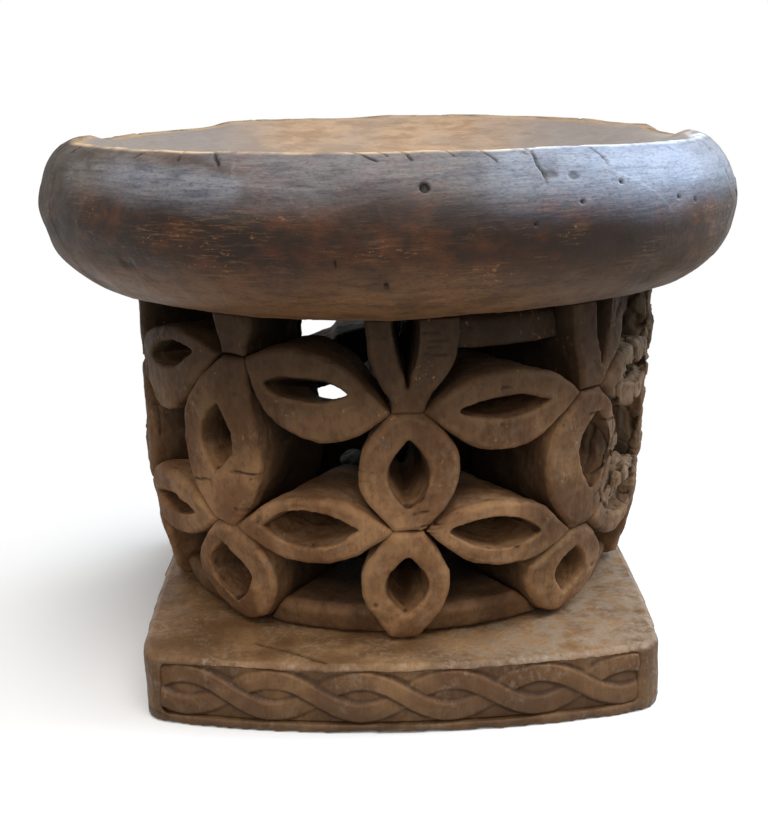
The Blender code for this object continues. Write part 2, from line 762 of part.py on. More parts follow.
def make_braid(side, material):
    """Two strands that cross over and under, joined into one relief."""
    half = panel_half_length(side) - SEAT_GAP
    strands = []
    for sign in (1, -1):
        bm = bmesh.new()
        places = [half * (2 * i / BRAID_SPANS - 1) for i in range(BRAID_SPANS + 1)]
        add_sections(bm, [strand_section(side, along, sign) for along in places], closed=False)
        strands.append(bm)
    braid = add_object(f"{side}_braid", strands[0], material)
    add_cutter(f"{side}_braid_second_strand", strands[1], braid, operation="UNION")
    return braid


def main():
    clear_scene()
    woods = {name: wood_material(name) for name in WOODS}
    make_seat(woods["seat_wood"])
    leaves = make_leaves()
    for leaf in leaves:
        add_object(leaf.name, leaf.solid(), woods["leaf_wood"])
    collar_high = SEAT_UNDERSIDE - SEAT_GAP
    collar_low = collar_high - COLLAR_HEIGHT
    collar = make_ring("collar", collar_low, collar_high, COLLAR_RECESS, leaves, woods["ring_wood"])
    break_out(collar, BREAK_FIRST_COLUMN, BREAK_LAST_COLUMN, collar_low, collar_high)
    sill_low = PLINTH_HEIGHT + SEAT_GAP
    make_ring("sill", sill_low, sill_low + SILL_HEIGHT, SILL_RECESS, leaves, woods["ring_wood"])
    make_plinth(woods["plinth_wood"])
    for side in PLINTH_SIDES:
        make_braid(side, woods["braid_wood"])
    stool = bpy.data.objects.new("stool", None)
    bpy.context.scene.collection.objects.link(stool)
    for obj in bpy.context.scene.objects:
        if obj != stool:
            obj.parent = stool


main()
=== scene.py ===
"""Looks of the carved stool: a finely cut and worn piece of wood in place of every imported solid.

The leaves, the collar, the sill and the plinth are fine copies of their solids with the edges eased. The
seat and the braids are meshed from their own measures. Tool marks, cracks, chips and weathering are then
cut into them all.

Metres, +Z up, and the front faces -Y. A turn is an angle round the stool in degrees, zero at the front and
positive to the right. A span for step() is where it starts and ends, and a span for between() has the width
of its soft margins as a third number.
"""

import math

import bmesh
import bpy
import numpy as np
from mathutils import Matrix, Vector


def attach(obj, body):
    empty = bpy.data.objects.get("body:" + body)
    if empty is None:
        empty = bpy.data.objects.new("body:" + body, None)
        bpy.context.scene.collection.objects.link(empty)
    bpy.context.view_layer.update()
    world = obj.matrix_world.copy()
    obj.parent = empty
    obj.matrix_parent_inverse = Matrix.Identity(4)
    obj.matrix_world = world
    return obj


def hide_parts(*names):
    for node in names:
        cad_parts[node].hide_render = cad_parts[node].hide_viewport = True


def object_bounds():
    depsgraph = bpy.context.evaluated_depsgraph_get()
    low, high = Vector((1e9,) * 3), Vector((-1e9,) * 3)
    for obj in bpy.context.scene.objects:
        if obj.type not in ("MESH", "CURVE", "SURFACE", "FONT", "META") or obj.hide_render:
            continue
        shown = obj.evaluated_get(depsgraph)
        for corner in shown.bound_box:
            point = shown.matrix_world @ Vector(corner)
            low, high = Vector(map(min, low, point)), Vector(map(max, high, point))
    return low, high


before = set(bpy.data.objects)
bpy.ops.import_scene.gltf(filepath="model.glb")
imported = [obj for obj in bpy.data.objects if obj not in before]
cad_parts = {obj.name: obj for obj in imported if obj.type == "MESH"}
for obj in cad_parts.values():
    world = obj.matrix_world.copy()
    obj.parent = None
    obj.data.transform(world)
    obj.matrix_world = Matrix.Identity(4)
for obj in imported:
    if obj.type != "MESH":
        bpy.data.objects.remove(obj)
cad_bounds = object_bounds()
scene = bpy.context.scene

# The stool's main sizes
SEAT_TOP = 0.345
SEAT_UNDERSIDE = 0.248
SEAT_RADIUS = 0.230
SEAT_UNDERSIDE_RADIUS = 0.172
RIM_CREST_RADIUS = 0.203
RIM_UPPER_BULGE = 0.042
RIM_SAG = 0.0065
DISH_DEPTH = 0.048
DRUM_TOP_RADIUS = 0.174
DRUM_FOOT_RADIUS = 0.155
DRUM_LEAN = 0.0035
PLINTH_HEIGHT = 0.045
COLUMNS = 9

# Mesh fineness
NEAR_VOXEL = 0.0012
FAR_VOXEL = 0.0018
RING_VOXEL = 0.0018
PLINTH_VOXEL = 0.0018
BRAID_STEP = 0.0007

# Points of a solid that are closer than this are one point
MERGE_DISTANCE = 1e-6

# Triangles of a solid are joined into four-sided faces up to this bend and this skew
JOIN_BEND = math.radians(30)
JOIN_SKEW = math.radians(120)

# A solid's edge that turns more than this is a real corner and not a facet of a curve
CORNER_ANGLE = math.radians(37)
CURVE_LEVELS = 2

# Leaves that show in the main view, by the number at the end of their names
NEAR_COLUMNS = (1, 2, 3, 7, 8, 9)


# Noise
def lattice(cells, seed):
    """A value from 0 to 1 for each whole-number cell, the same on every run."""
    x, y, z = (cells[:, axis].astype(np.int64).astype(np.uint64) for axis in range(3))
    mixed = x * np.uint64(374761393) + y * np.uint64(668265263) + z * np.uint64(2246822519)
    mixed = mixed + np.uint64(seed) * np.uint64(3266489917)
    mixed = (mixed ^ (mixed >> np.uint64(15))) * np.uint64(2654435761)
    mixed = (mixed ^ (mixed >> np.uint64(13))) * np.uint64(1274126177)
    mixed = mixed ^ (mixed >> np.uint64(16))
    return (mixed & np.uint64(0xFFFFFF)).astype(float) / 0xFFFFFF


def noise(points, size, seed=0):
    """Smooth noise from -1 to 1 with bumps of about this size, which is one number or one per axis."""
    scaled = points / np.asarray(size)
    base = np.floor(scaled)
    share = scaled - base
    share = share * share * (3 - 2 * share)
    total = np.zeros(len(points))
    for corner in np.ndindex(2, 2, 2):
        picked = np.where(np.array(corner) == 1, share, 1 - share)
        total += picked.prod(axis=1) * lattice(base + np.array(corner), seed)
    return 2 * total - 1


def cells(points, size, seed):
    """Distances to the two nearest of scattered points, in cell sizes, and each cell's own value."""
    scaled = points / np.asarray(size)
    base = np.floor(scaled)
    first = np.full(len(points), 9.0)
    second = np.full(len(points), 9.0)
    value = np.zeros(len(points))
    for shift in np.ndindex(3, 3, 3):
        cell = base + np.array(shift) - 1
        scatter = np.stack([lattice(cell, seed + axis) for axis in range(3)], axis=1)
        distance = np.linalg.norm(scaled - cell - scatter, axis=1)
        nearer = distance < first
        second = np.where(nearer, first, np.minimum(second, distance))
        value = np.where(nearer, lattice(cell, seed + 3), value)
        first = np.where(nearer, distance, first)
    return first, second, value


def step(values, low, high):
    """Rises smoothly from 0 at low to 1 at high."""
    share = np.clip((values - low) / (high - low), 0, 1)
    return share * share * (3 - 2 * share)


def between(values, low, high, soft):
    """One between low and high, fading to nothing over a soft margin outside them."""
    return step(values, low - soft, low) * (1 - step(values, high, high + soft))


def scoops(points, size, seed):
    """Shallow hollows side by side with ridges between them, as a gouge leaves, from about -0.5 to 0.5."""
    first, _, value = cells(points, size, seed)
    return np.clip(first, 0, 1) ** 2 - 0.5 + 0.4 * (value - 0.5)


def unevenness(points, layers):
    """The sum of several noises, each given as its height, the size of its bumps and its seed."""
    total = np.zeros(len(points))
    for height, size, seed in layers:
        total += height * noise(points, size, seed)
    return total


# Meshes as arrays
class Surface:
    """A mesh's points, normals and edges as arrays, to cut into and to store masks on."""

    def __init__(self, mesh):
        self.mesh = mesh
        self.count = len(mesh.vertices)
        flat = np.empty(self.count * 3, np.float32)
        mesh.vertices.foreach_get("co", flat)
        self.points = flat.reshape(-1, 3).astype(float)
        pairs = np.empty(len(mesh.edges) * 2, np.int32)
        mesh.edges.foreach_get("vertices", pairs)
        self.ends = pairs.reshape(-1, 2).T
        self.degree = np.maximum(np.bincount(pairs, minlength=self.count), 1)
        self.read_normals()

    def read_normals(self):
        flat = np.empty(self.count * 3, np.float32)
        self.mesh.vertex_normals.foreach_get("vector", flat)
        self.normals = flat.reshape(-1, 3).astype(float)

    def store(self):
        self.mesh.vertices.foreach_set("co", self.points.astype(np.float32).ravel())
        self.mesh.update()
        self.read_normals()

    def push(self, heights):
        """Moves every point along its normal."""
        self.points += self.normals * heights[:, None]
        self.store()

    def neighbour_mean(self, values):
        a, b = self.ends
        total = np.bincount(a, values[b], self.count) + np.bincount(b, values[a], self.count)
        return total / self.degree

    def spread(self, values, rounds):
        """Blurs values over the neighbouring points."""
        for _ in range(rounds):
            values = (values + self.neighbour_mean(values)) / 2
        return values

    def curvature(self, rounds):
        """About one over the bend's radius, in 1/m: positive on ridges and negative in hollows."""
        mean = np.stack([self.neighbour_mean(self.points[:, axis]) for axis in range(3)], axis=1)
        rise = ((self.points - mean) * self.normals).sum(axis=1)
        a, b = self.ends
        edge = np.linalg.norm(self.points[a] - self.points[b], axis=1).mean()
        return self.spread(4 * rise / edge**2, rounds)

    def mask(self, name, values):
        """Stores a value from 0 to 1 at each point for the materials to read."""
        attribute = self.mesh.attributes.new(name, "FLOAT", "POINT")
        attribute.data.foreach_set("value", np.clip(values, 0, 1).astype(np.float32))

    @property
    def turn(self):
        return np.degrees(np.arctan2(self.points[:, 0], -self.points[:, 1]))

    @property
    def radius(self):
        return np.hypot(self.points[:, 0], self.points[:, 1])

    @property
    def height(self):
        return self.points[:, 2]


def place_piece(obj, node, material):
    """Puts a finished piece on the body in place of its solid."""
    obj.data.materials.clear()
    obj.data.materials.append(material)
    obj.data.shade_smooth()
    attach(obj, "root")
    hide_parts(node)


def fine_copy(node, voxel, rounds, curved=False):
    """A finely meshed copy of a solid with its edges eased and, if curved, its facets bent into curves."""
    bm = bmesh.new()
    bm.from_mesh(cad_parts[node].data)
    bmesh.ops.remove_doubles(bm, verts=bm.verts, dist=MERGE_DISTANCE)
    if curved:
        bmesh.ops.join_triangles(
            bm,
            faces=bm.faces,
            angle_face_threshold=JOIN_BEND,
            angle_shape_threshold=JOIN_SKEW,
        )
        crease = bm.edges.layers.float.new("crease_edge")
        for edge in bm.edges:
            edge[crease] = 1.0 if edge.calc_face_angle(0.0) > CORNER_ANGLE else 0.0
    mesh = bpy.data.meshes.new("carved_" + node)
    bm.to_mesh(mesh)
    bm.free()
    obj = bpy.data.objects.new("carved_" + node, mesh)
    scene.collection.objects.link(obj)
    if curved:
        bend = obj.modifiers.new("bend", "SUBSURF")
        bend.levels = CURVE_LEVELS
        bend.render_levels = CURVE_LEVELS
    remesh = obj.modifiers.new("remesh", "REMESH")
    remesh.mode = "VOXEL"
    remesh.voxel_size = voxel
    ease = obj.modifiers.new("ease", "SMOOTH")
    ease.factor = 0.5
    ease.iterations = rounds
    shaped = obj.evaluated_get(bpy.context.evaluated_depsgraph_get())
    fine = bpy.data.meshes.new_from_object(shaped)
    obj.modifiers.clear()
    obj.data = fine
    bpy.data.meshes.remove(mesh)
    return obj


# Drum
# Easing the edges takes wood off the leaves. This puts it back, with more behind the face and far off
LEAF_GROWTH = 0.0006
LEAF_GROWTH_BEHIND = 0.0006
LEAF_GROWTH_FAR = 0.0006
LEAF_EASING = 2
BEHIND_FACE = (0.004, 0.010)

# The wall swells a little on the right, and low on the left
RIGHT_SWELL = 0.0020
RIGHT_SWELL_TURNS = (62, 112, 10)
RIGHT_SWELL_HEIGHTS = (0.07, 0.10)
LEFT_SWELL = 0.0016
LEFT_SWELL_TURNS = (-112, -66, 10)
LEFT_SWELL_HEIGHTS = (0.09, 0.14, 0.02)

# The top of this far leaf rises towards the right, where it bounds the light gap from below
RAISED_LEAF = "upper_link_leaf_5"
LEAF_RAISE = 0.0045
LEAF_RAISE_X = (-0.048, -0.040)

# Unevenness, scoops and other fine marks
LEAF_LAYERS = ((0.0012, 0.034, 1), (0.0006, 0.014, 2), (0.00030, 0.005, 3))
LEAF_SCOOP_DEPTH = 0.0010
LEAF_SCOOP_SIZE = (0.014, 0.014, 0.018)
NICK_DEPTH = 0.0008
CUT_DEPTH = 0.0012
RING_LAYERS = ((0.0012, 0.03, 11),)
RING_SCOOP_DEPTH = 0.0006
RING_EASING = 4

# Weathered wood: turns and heights on both flanks, sizes of the chunks, and depths in metres
WEATHERED_RIGHT_TURNS = (58, 106, 8)
WEATHERED_RIGHT_HEIGHTS = (0.085, 0.115)
WEATHERED_LEFT_TURNS = (-104, -70, 9)
WEATHERED_LEFT_HEIGHTS = (0.10, 0.20, 0.02)
WEATHERED_LEFT_SHARE = 0.25
CHUNK_SIZE = (0.017, 0.017, 0.040)
SMALL_CHUNK_SIZE = (0.007, 0.007, 0.016)
SPLINTER_SIZE = (0.003, 0.003, 0.03)
CRACK_DEPTH = 0.0022
CHUNK_DEPTH = 0.0044
SMALL_CHUNK_DEPTH = 0.0010
SPLINTER_DEPTH = 0.0009

# Painted shade under the seat: heights it deepens over; and darker wood on the right flank: its turns,
# heights and share
LEAF_SEAT_SHADE_HEIGHTS = (0.119, 0.234)
RING_SEAT_SHADE_HEIGHTS = (0.125, 0.238)
DARK_FLANK_TURNS = (34, 120, 12)
DARK_FLANK_HEIGHTS = (0.050, 0.09)
DARK_FLANK_SHARE = 0.45

# Saw and knife cuts across the bands: turn and height (mm) of both ends, then depth and half width in mm
CUTS = (
    ((5.5, 239.5), (11, 238.5), 1.0, 0.55),
    ((5.5, 235), (11, 234.5), 0.8, 0.5),
    ((6, 227), (11, 226), 1.0, 0.55),
    ((6.5, 231), (10, 230.8), 0.6, 0.5),
    ((-5.5, 238), (-1, 237), 0.9, 0.5),
    ((-7, 157.5), (-3.0, 157), 0.8, 0.5),
    ((-7, 151.5), (-4, 151.5), 0.7, 0.5),
    ((-52, 138), (-41, 141.5), 1.2, 0.6),
    ((-35.5, 150), (-28, 151), 1.2, 0.6),
    ((3.5, 130.5), (7, 132), 0.9, 0.55),
    ((5, 121.5), (10, 123), 1.3, 0.6),
    ((5.5, 119), (9.5, 120.5), 1.1, 0.55),
    ((6, 116.8), (9, 117.6), 0.9, 0.5),
    ((44, 177), (50, 176), 1.2, 0.6),
    ((48, 170), (55, 168), 1.2, 0.7),
    ((-62, 166), (-46, 136), 1.8, 1.0),
)


def wall_depth(surface):
    """How far each point lies behind the drum's outer face, which leans a little to the right."""
    rise = (surface.height - PLINTH_HEIGHT) / (SEAT_UNDERSIDE - PLINTH_HEIGHT)
    wall = DRUM_TOP_RADIUS - (DRUM_TOP_RADIUS - DRUM_FOOT_RADIUS) * (1 - rise) ** 3
    return wall + DRUM_LEAN * rise * np.sin(np.radians(surface.turn)) ** 3 - surface.radius


def cut_depth(surface, depth):
    """How deep the cuts across the bands go at each point, near the wall's outer face."""
    radius = 1000 * (DRUM_TOP_RADIUS + DRUM_FOOT_RADIUS) / 2
    along = np.radians(surface.turn) * radius
    up = surface.height * 1000
    total = np.zeros(surface.count)
    for (turn_a, up_a), (turn_b, up_b), deep, half in CUTS:
        a = np.array((math.radians(turn_a) * radius, up_a))
        b = np.array((math.radians(turn_b) * radius, up_b))
        run = b - a
        share = np.clip(((along - a[0]) * run[0] + (up - a[1]) * run[1]) / (run @ run), 0, 1)
        off = np.hypot(along - a[0] - share * run[0], up - a[1] - share * run[1])
        total = np.maximum(total, deep * np.exp(-((off / half) ** 2)) * (1 - step(share, 0.7, 1.05)))
    worn = 0.75 + 0.45 * noise(surface.points, 0.006, 21)
    return total * worn / 1000 * (1 - step(depth, *BEHIND_FACE))


def weather_mask(surface):
    """Where the wood is weathered: all over the right flank, and a little on the left."""
    turn = surface.turn + 6 * noise(surface.points, 0.03, 71)
    right = between(turn, *WEATHERED_RIGHT_TURNS) * step(surface.height, *WEATHERED_RIGHT_HEIGHTS)
    left = between(turn, *WEATHERED_LEFT_TURNS) * between(surface.height, *WEATHERED_LEFT_HEIGHTS)
    return np.maximum(right, WEATHERED_LEFT_SHARE * left)


def crumble(surface, weathering_and_sheen):
    """Depth of weathering: upright chunks sunk by different depths, with cracks and splinters between."""
    points = surface.points
    bent = points + 0.004 * noise(points, 0.015, 81)[:, None]
    first, second, chunk = cells(bent, CHUNK_SIZE, 84)
    crack = 1 - step(second - first, 0.02, 0.13)
    small_chunk = cells(bent, SMALL_CHUNK_SIZE, 88)[2]
    splinter = 1 - np.abs(noise(points, SPLINTER_SIZE, 95))
    depth = CRACK_DEPTH * crack + CHUNK_DEPTH * chunk
    depth += SMALL_CHUNK_DEPTH * small_chunk + SPLINTER_DEPTH * splinter
    return weathering_and_sheen * depth


def leaf_heights(node, near, surface, depth):
    """How far a leaf's surface is pushed out before anything is cut into it."""
    points = surface.points
    heights = LEAF_GROWTH + LEAF_GROWTH_BEHIND * step(depth, *BEHIND_FACE)
    if not near:
        heights += LEAF_GROWTH_FAR
    if node == RAISED_LEAF:
        facing_up = step(surface.normals[:, 2], 0.2, 0.6)
        heights += LEAF_RAISE * facing_up * step(points[:, 0], *LEAF_RAISE_X)
    right = between(surface.turn, *RIGHT_SWELL_TURNS) * step(surface.height, *RIGHT_SWELL_HEIGHTS)
    left = between(surface.turn, *LEFT_SWELL_TURNS) * between(surface.height, *LEFT_SWELL_HEIGHTS)
    heights += RIGHT_SWELL * right + LEFT_SWELL * left
    heights += unevenness(points, LEAF_LAYERS)
    return heights + LEAF_SCOOP_DEPTH * scoops(points, LEAF_SCOOP_SIZE, 5)


def carve_leaf(node, material):
    near = int(node.rsplit("_", 1)[1]) in NEAR_COLUMNS
    obj = fine_copy(node, NEAR_VOXEL if near else FAR_VOXEL, LEAF_EASING, curved=True)
    surface = Surface(obj.data)
    points = surface.points
    depth = wall_depth(surface)
    heights = leaf_heights(node, near, surface, depth)
    weathering_and_sheen = weather_mask(surface)
    cuts = cut_depth(surface, depth)
    nicks = step(noise(points, 0.007, 7), 0.55, 0.85) * step(noise(points, 0.03, 8), -0.1, 0.4)
    surface.push(heights - cuts - NICK_DEPTH * nicks - crumble(surface, weathering_and_sheen))
    bend = surface.curvature(3)
    outside = 1 - step(depth, 0.006, 0.014)
    surface.mask("wear", step(bend, 60, 300) * outside)
    # Dirt and painted shade in the hollows, and painted shade deepening further in, which is taken off the
    # tops of the near leaves where light reaches them
    hollow = step(-bend, 40, 240)
    deepest = 0.50 if near else 0.58
    inward_shade = 0.42 * step(depth, 0.0015, 0.007) + deepest * step(depth, 0.006, 0.036)
    if near:
        inward_shade *= 1 - step(surface.normals[:, 2], 0.1, 0.5) * (1 - step(depth, 0.058, 0.080))
    surface.mask("grime_and_shade", np.maximum(0.75 * hollow * outside, inward_shade))
    surface.mask("weathering_and_sheen", weathering_and_sheen)
    surface.mask("cut", cuts / CUT_DEPTH)
    # Painted shade under the seat, deepening upward, and darker wood on the right flank
    flank = between(surface.turn, *DARK_FLANK_TURNS) * step(surface.height, *DARK_FLANK_HEIGHTS)
    surface.mask("shade_and_darkening", np.maximum(step(surface.height, *LEAF_SEAT_SHADE_HEIGHTS), DARK_FLANK_SHARE * flank))
    place_piece(obj, node, material)


def carve_ring(node, material):
    obj = fine_copy(node, RING_VOXEL, RING_EASING)
    surface = Surface(obj.data)
    points = surface.points
    depth = wall_depth(surface)
    surface.push(unevenness(points, RING_LAYERS) + RING_SCOOP_DEPTH * scoops(points, 0.014, 15))
    bend = surface.curvature(3)
    surface.mask("wear", 0.7 * step(bend, 60, 280))
    # Dirt and painted shade in the hollows, and painted shade further in
    surface.mask("grime_and_shade", np.maximum(0.7 * step(-bend, 40, 240), 0.9 * step(depth, 0.022, 0.062)))
    # Painted shade under the seat, deepening upward
    surface.mask("shade_and_darkening", step(surface.height, *RING_SEAT_SHADE_HEIGHTS))
    place_piece(obj, node, material)


# Seat
# The seat's mesh: rings from the dish's middle to the underside's, and spokes that crowd at the front
DISH_RINGS = 24
DISH_RING_CROWDING = 1.6
UPPER_RIM_SPANS = 64
LOWER_RIM_SPANS = 28
UNDERSIDE_RINGS = 6
PROFILE_EASING = 9
UNEASED_RINGS = 8
SPOKES = 820
SPOKE_CROWDING = 0.48

# Worn dips in the rim's crest, by their turns
RIM_DIP = 0.0042
RIM_DIP_TURNS = ((-134, -106, 9), (96, 109, 4))
RIM_DIP_HEIGHTS = (0.318, 0.345)

RIM_LAYERS = ((0.0011, (0.09, 0.09, 0.05), 51), (0.0012, (0.06, 0.06, 0.016), 55), (0.0006, 0.035, 52))
RIM_SCOOP_DEPTH = 0.0013
RIM_SCOOP_SIZE = (0.050, 0.050, 0.030)
DISH_LAYERS = ((0.0012, 0.06, 54),)
DISH_SCOOP_DEPTH = 0.0012
DISH_SCOOP_SIZE = 0.026
FINE_LAYERS = ((0.00012, (0.006, 0.006, 0.003), 58),)
SEAT_INSET = 0.0006

# Radii where the dish passes into the rim, first in shape and then in colour
DISH_EDGE = (0.185, 0.203)
DISH_COLOUR_EDGE = (0.197, 0.204)

# Depths of a check and of a chip at which they are coloured darkest
CHECK_DARKEST = 0.0011
CHIP_DARKEST = 0.0016

# Drying checks over the rim: turn, radius where each starts and ends, slant in degrees, depth and half
# width in mm
CHECKS = (
    (-60, 205, 218, -2.0, 1.6, 0.6),
    (-40, 205, 216, -2.0, 1.6, 0.55),
    (-33.5, 204, 218, 1.5, 2.0, 0.6),
    (-28, 203, 220, 3.5, 2.4, 0.75),
    (-6.5, 203, 217, 5.0, 2.2, 0.75),
    (-2.5, 203, 213, 2.5, 2.0, 0.6),
    (1.2, 203, 217, 2.0, 2.0, 0.6),
    (7.5, 204, 214, 2.0, 1.8, 0.55),
    (13, 204, 218, 2.5, 2.0, 0.6),
    (18.5, 204, 214, 1.5, 1.8, 0.55),
    (20.5, 205, 227, 1.2, 2.2, 0.65),
    (25.5, 202.5, 207.5, 11.0, 2.2, 5.0),
    (31, 204, 222, 1.5, 2.2, 0.65),
    (46, 205, 217, 5.0, 1.6, 0.6),
    (66, 204, 220, -3.0, 1.8, 0.8),
    (97, 203, 222, 1.0, 2.0, 1.0),
    (133, 203, 216, 2.0, 1.8, 0.9),
    (168, 203, 219, -2.0, 1.6, 0.9),
    (-150, 203, 218, 2.0, 1.8, 0.9),
    (-117, 203, 220, -3.0, 2.0, 1.0),
    (-75, 204, 219, 2.0, 1.6, 0.9),
)

# Chips and insect holes in the rim: turn, height in mm, half width and half height in mm, depth in mm
CHIPS = (
    (4.4, 327, 3.0, 2.6, 2.4),
    (22.6, 331, 4.5, 2.4, 0.9),
    (26.0, 329, 3.6, 2.0, 0.9),
    (26.8, 315.5, 1.25, 1.25, 3.2),
    (33.8, 324, 1.2, 1.2, 3.0),
    (19.5, 305, 1.0, 1.0, 2.2),
    (46, 312, 1.2, 1.5, 2.5),
    (50, 309, 1.2, 1.5, 2.5),
    (-7.6, 287, 1.1, 1.1, 3.0),
    (-0.9, 274, 1.1, 1.1, 3.0),
    (66, 318, 1.6, 6.0, 1.5),
    (70, 305, 1.4, 2.0, 2.5),
    (-42, 281, 7.0, 3.0, 1.0),
    (-96, 300, 3.0, 2.6, 2.0),
    (-128, 285, 1.7, 1.7, 3.0),
    (118, 322, 2.0, 2.0, 3.0),
    (154, 296, 5.0, 2.4, 1.4),
    (-162, 312, 1.7, 1.7, 3.0),
)


def arc(centre, radii, start, end, spans):
    """Points along a stretch of an ellipse, angles in degrees from its +X."""
    angles = np.radians(np.linspace(start, end, spans + 1))
    return [(centre[0] + radii[0] * math.cos(a), centre[1] + radii[1] * math.sin(a)) for a in angles]


def seat_rings():
    """The seat's profile as (radius, height), from the dish's middle over the rim to the underside."""
    sphere = (RIM_CREST_RADIUS**2 + DISH_DEPTH**2) / (2 * DISH_DEPTH)
    dish = []
    for share in np.linspace(0, 1, DISH_RINGS)[1:-1]:
        radius = RIM_CREST_RADIUS * (1 - (1 - share) ** DISH_RING_CROWDING)
        dish.append((radius, SEAT_TOP - DISH_DEPTH + sphere - math.sqrt(sphere**2 - radius**2)))
    widest = SEAT_TOP - RIM_UPPER_BULGE
    upper_radii = (SEAT_RADIUS - RIM_CREST_RADIUS, RIM_UPPER_BULGE)
    upper = arc((RIM_CREST_RADIUS, widest), upper_radii, 90, 0, UPPER_RIM_SPANS)
    lower_radii = (SEAT_RADIUS - SEAT_UNDERSIDE_RADIUS, widest - SEAT_UNDERSIDE)
    lower = arc((SEAT_UNDERSIDE_RADIUS, widest), lower_radii, 0, -90, LOWER_RIM_SPANS)
    under_radii = np.linspace(SEAT_UNDERSIDE_RADIUS, 0, UNDERSIDE_RINGS)[1:-1]
    under = [(radius, SEAT_UNDERSIDE) for radius in under_radii]
    rings = np.array(dish + upper + lower[1:] + under)
    end = len(rings) - UNEASED_RINGS
    for _ in range(PROFILE_EASING):
        rings[1:end] = (rings[: end - 1] + 2 * rings[1:end] + rings[2 : end + 1]) / 4
    return rings


def seat_turns():
    """Turns of the mesh's spokes in radians, closer together at the front."""
    even = np.linspace(-math.pi, math.pi, SPOKES, endpoint=False)
    return even - SPOKE_CROWDING * np.sin(even)


def rim_sag(points):
    """How much lower the seat is on its right, apart from the face that meets the drum."""
    radius = np.hypot(points[:, 0], points[:, 1])
    overhang = (radius - SEAT_UNDERSIDE_RADIUS) / (SEAT_RADIUS - SEAT_UNDERSIDE_RADIUS)
    share = np.sqrt(np.clip(overhang, 0, 1))
    share[points[:, 2] > SEAT_TOP - RIM_UPPER_BULGE] = 1.0
    return RIM_SAG * share * np.clip(points[:, 0] / SEAT_RADIUS, 0, None) ** 2


def make_seat_mesh():
    rings = seat_rings()
    turns = seat_turns()
    across = len(turns)
    radius = rings[:, 0][:, None]
    x = radius * np.sin(turns)[None, :]
    y = -radius * np.cos(turns)[None, :]
    z = np.repeat(rings[:, 1][:, None], across, axis=1)
    points = np.stack([x, y, z], axis=2).reshape(-1, 3)
    top = len(points)
    points = np.vstack([points, (0, 0, SEAT_TOP - DISH_DEPTH), (0, 0, SEAT_UNDERSIDE)])
    faces = []
    for i in range(len(rings) - 1):
        here = i * across
        there = here + across
        for j in range(across):
            k = (j + 1) % across
            faces.append((here + j, there + j, there + k, here + k))
    last = (len(rings) - 1) * across
    for j in range(across):
        k = (j + 1) % across
        faces.append((top, j, k))
        faces.append((top + 1, last + k, last + j))
    mesh = bpy.data.meshes.new("carved_seat")
    mesh.from_pydata(points.tolist(), [], faces)
    mesh.update()
    return mesh


def check_depth(surface):
    """Depth of the drying checks that run over the rim."""
    radius = surface.radius * 1000
    upper = step(surface.height, SEAT_TOP - 0.040, SEAT_TOP - 0.034)
    wander = 1.2 * noise(surface.points, 0.006, 31)
    total = np.zeros(surface.count)
    for turn, start, end, slant, deep, half in CHECKS:
        share = (radius - start) / (end - start)
        off = np.radians((surface.turn - turn - slant * share + 180) % 360 - 180) * radius + wander
        ends = between(share, 0.08, 0.75, 0.25)
        total = np.maximum(total, deep * ends * np.exp(-((off / half) ** 2)))
    return total * upper / 1000


def chip_depth(surface):
    """Depth of the chips and insect holes in the rim's side."""
    side = step(surface.radius, RIM_CREST_RADIUS, RIM_CREST_RADIUS + 0.006)
    total = np.zeros(surface.count)
    for turn, up, half_across, half_up, deep in CHIPS:
        across = np.radians((surface.turn - turn + 180) % 360 - 180) * surface.radius * 1000
        off = np.hypot(across / half_across, (surface.height * 1000 - up) / half_up)
        off += 0.2 * noise(surface.points, 0.004, 41)
        total = np.maximum(total, deep * (1 - step(off, 0.7, 1.15)))
    return total * side / 1000


def shape_seat(surface, level):
    """Cuts the seat's surface and gives each point's depth of checks and of chips."""
    points = surface.points
    turn = surface.turn + 3 * noise(points, 0.02, 50)
    outside = step(surface.radius, *DISH_EDGE)
    dip = RIM_DIP * sum(between(turn, *turns) for turns in RIM_DIP_TURNS)
    points[:, 2] -= dip * step(level, *RIM_DIP_HEIGHTS) * outside + rim_sag(points)
    surface.store()
    rim = unevenness(points, RIM_LAYERS) + RIM_SCOOP_DEPTH * scoops(points, RIM_SCOOP_SIZE, 53)
    dish = unevenness(points, DISH_LAYERS) + DISH_SCOOP_DEPTH * scoops(points, DISH_SCOOP_SIZE, 56)
    heights = outside * step(level, 0.250, 0.262) * (rim - SEAT_INSET)
    heights += (1 - outside) * (dish - SEAT_INSET) + unevenness(points, FINE_LAYERS)
    checks = check_depth(surface)
    chips = chip_depth(surface)
    surface.push(heights - checks - chips)
    limit = np.array(cad_bounds[1])
    points[:, :2] = np.clip(points[:, :2], -limit[:2], limit[:2])
    points[:, 2] = np.minimum(points[:, 2], limit[2])
    surface.store()
    return checks, chips


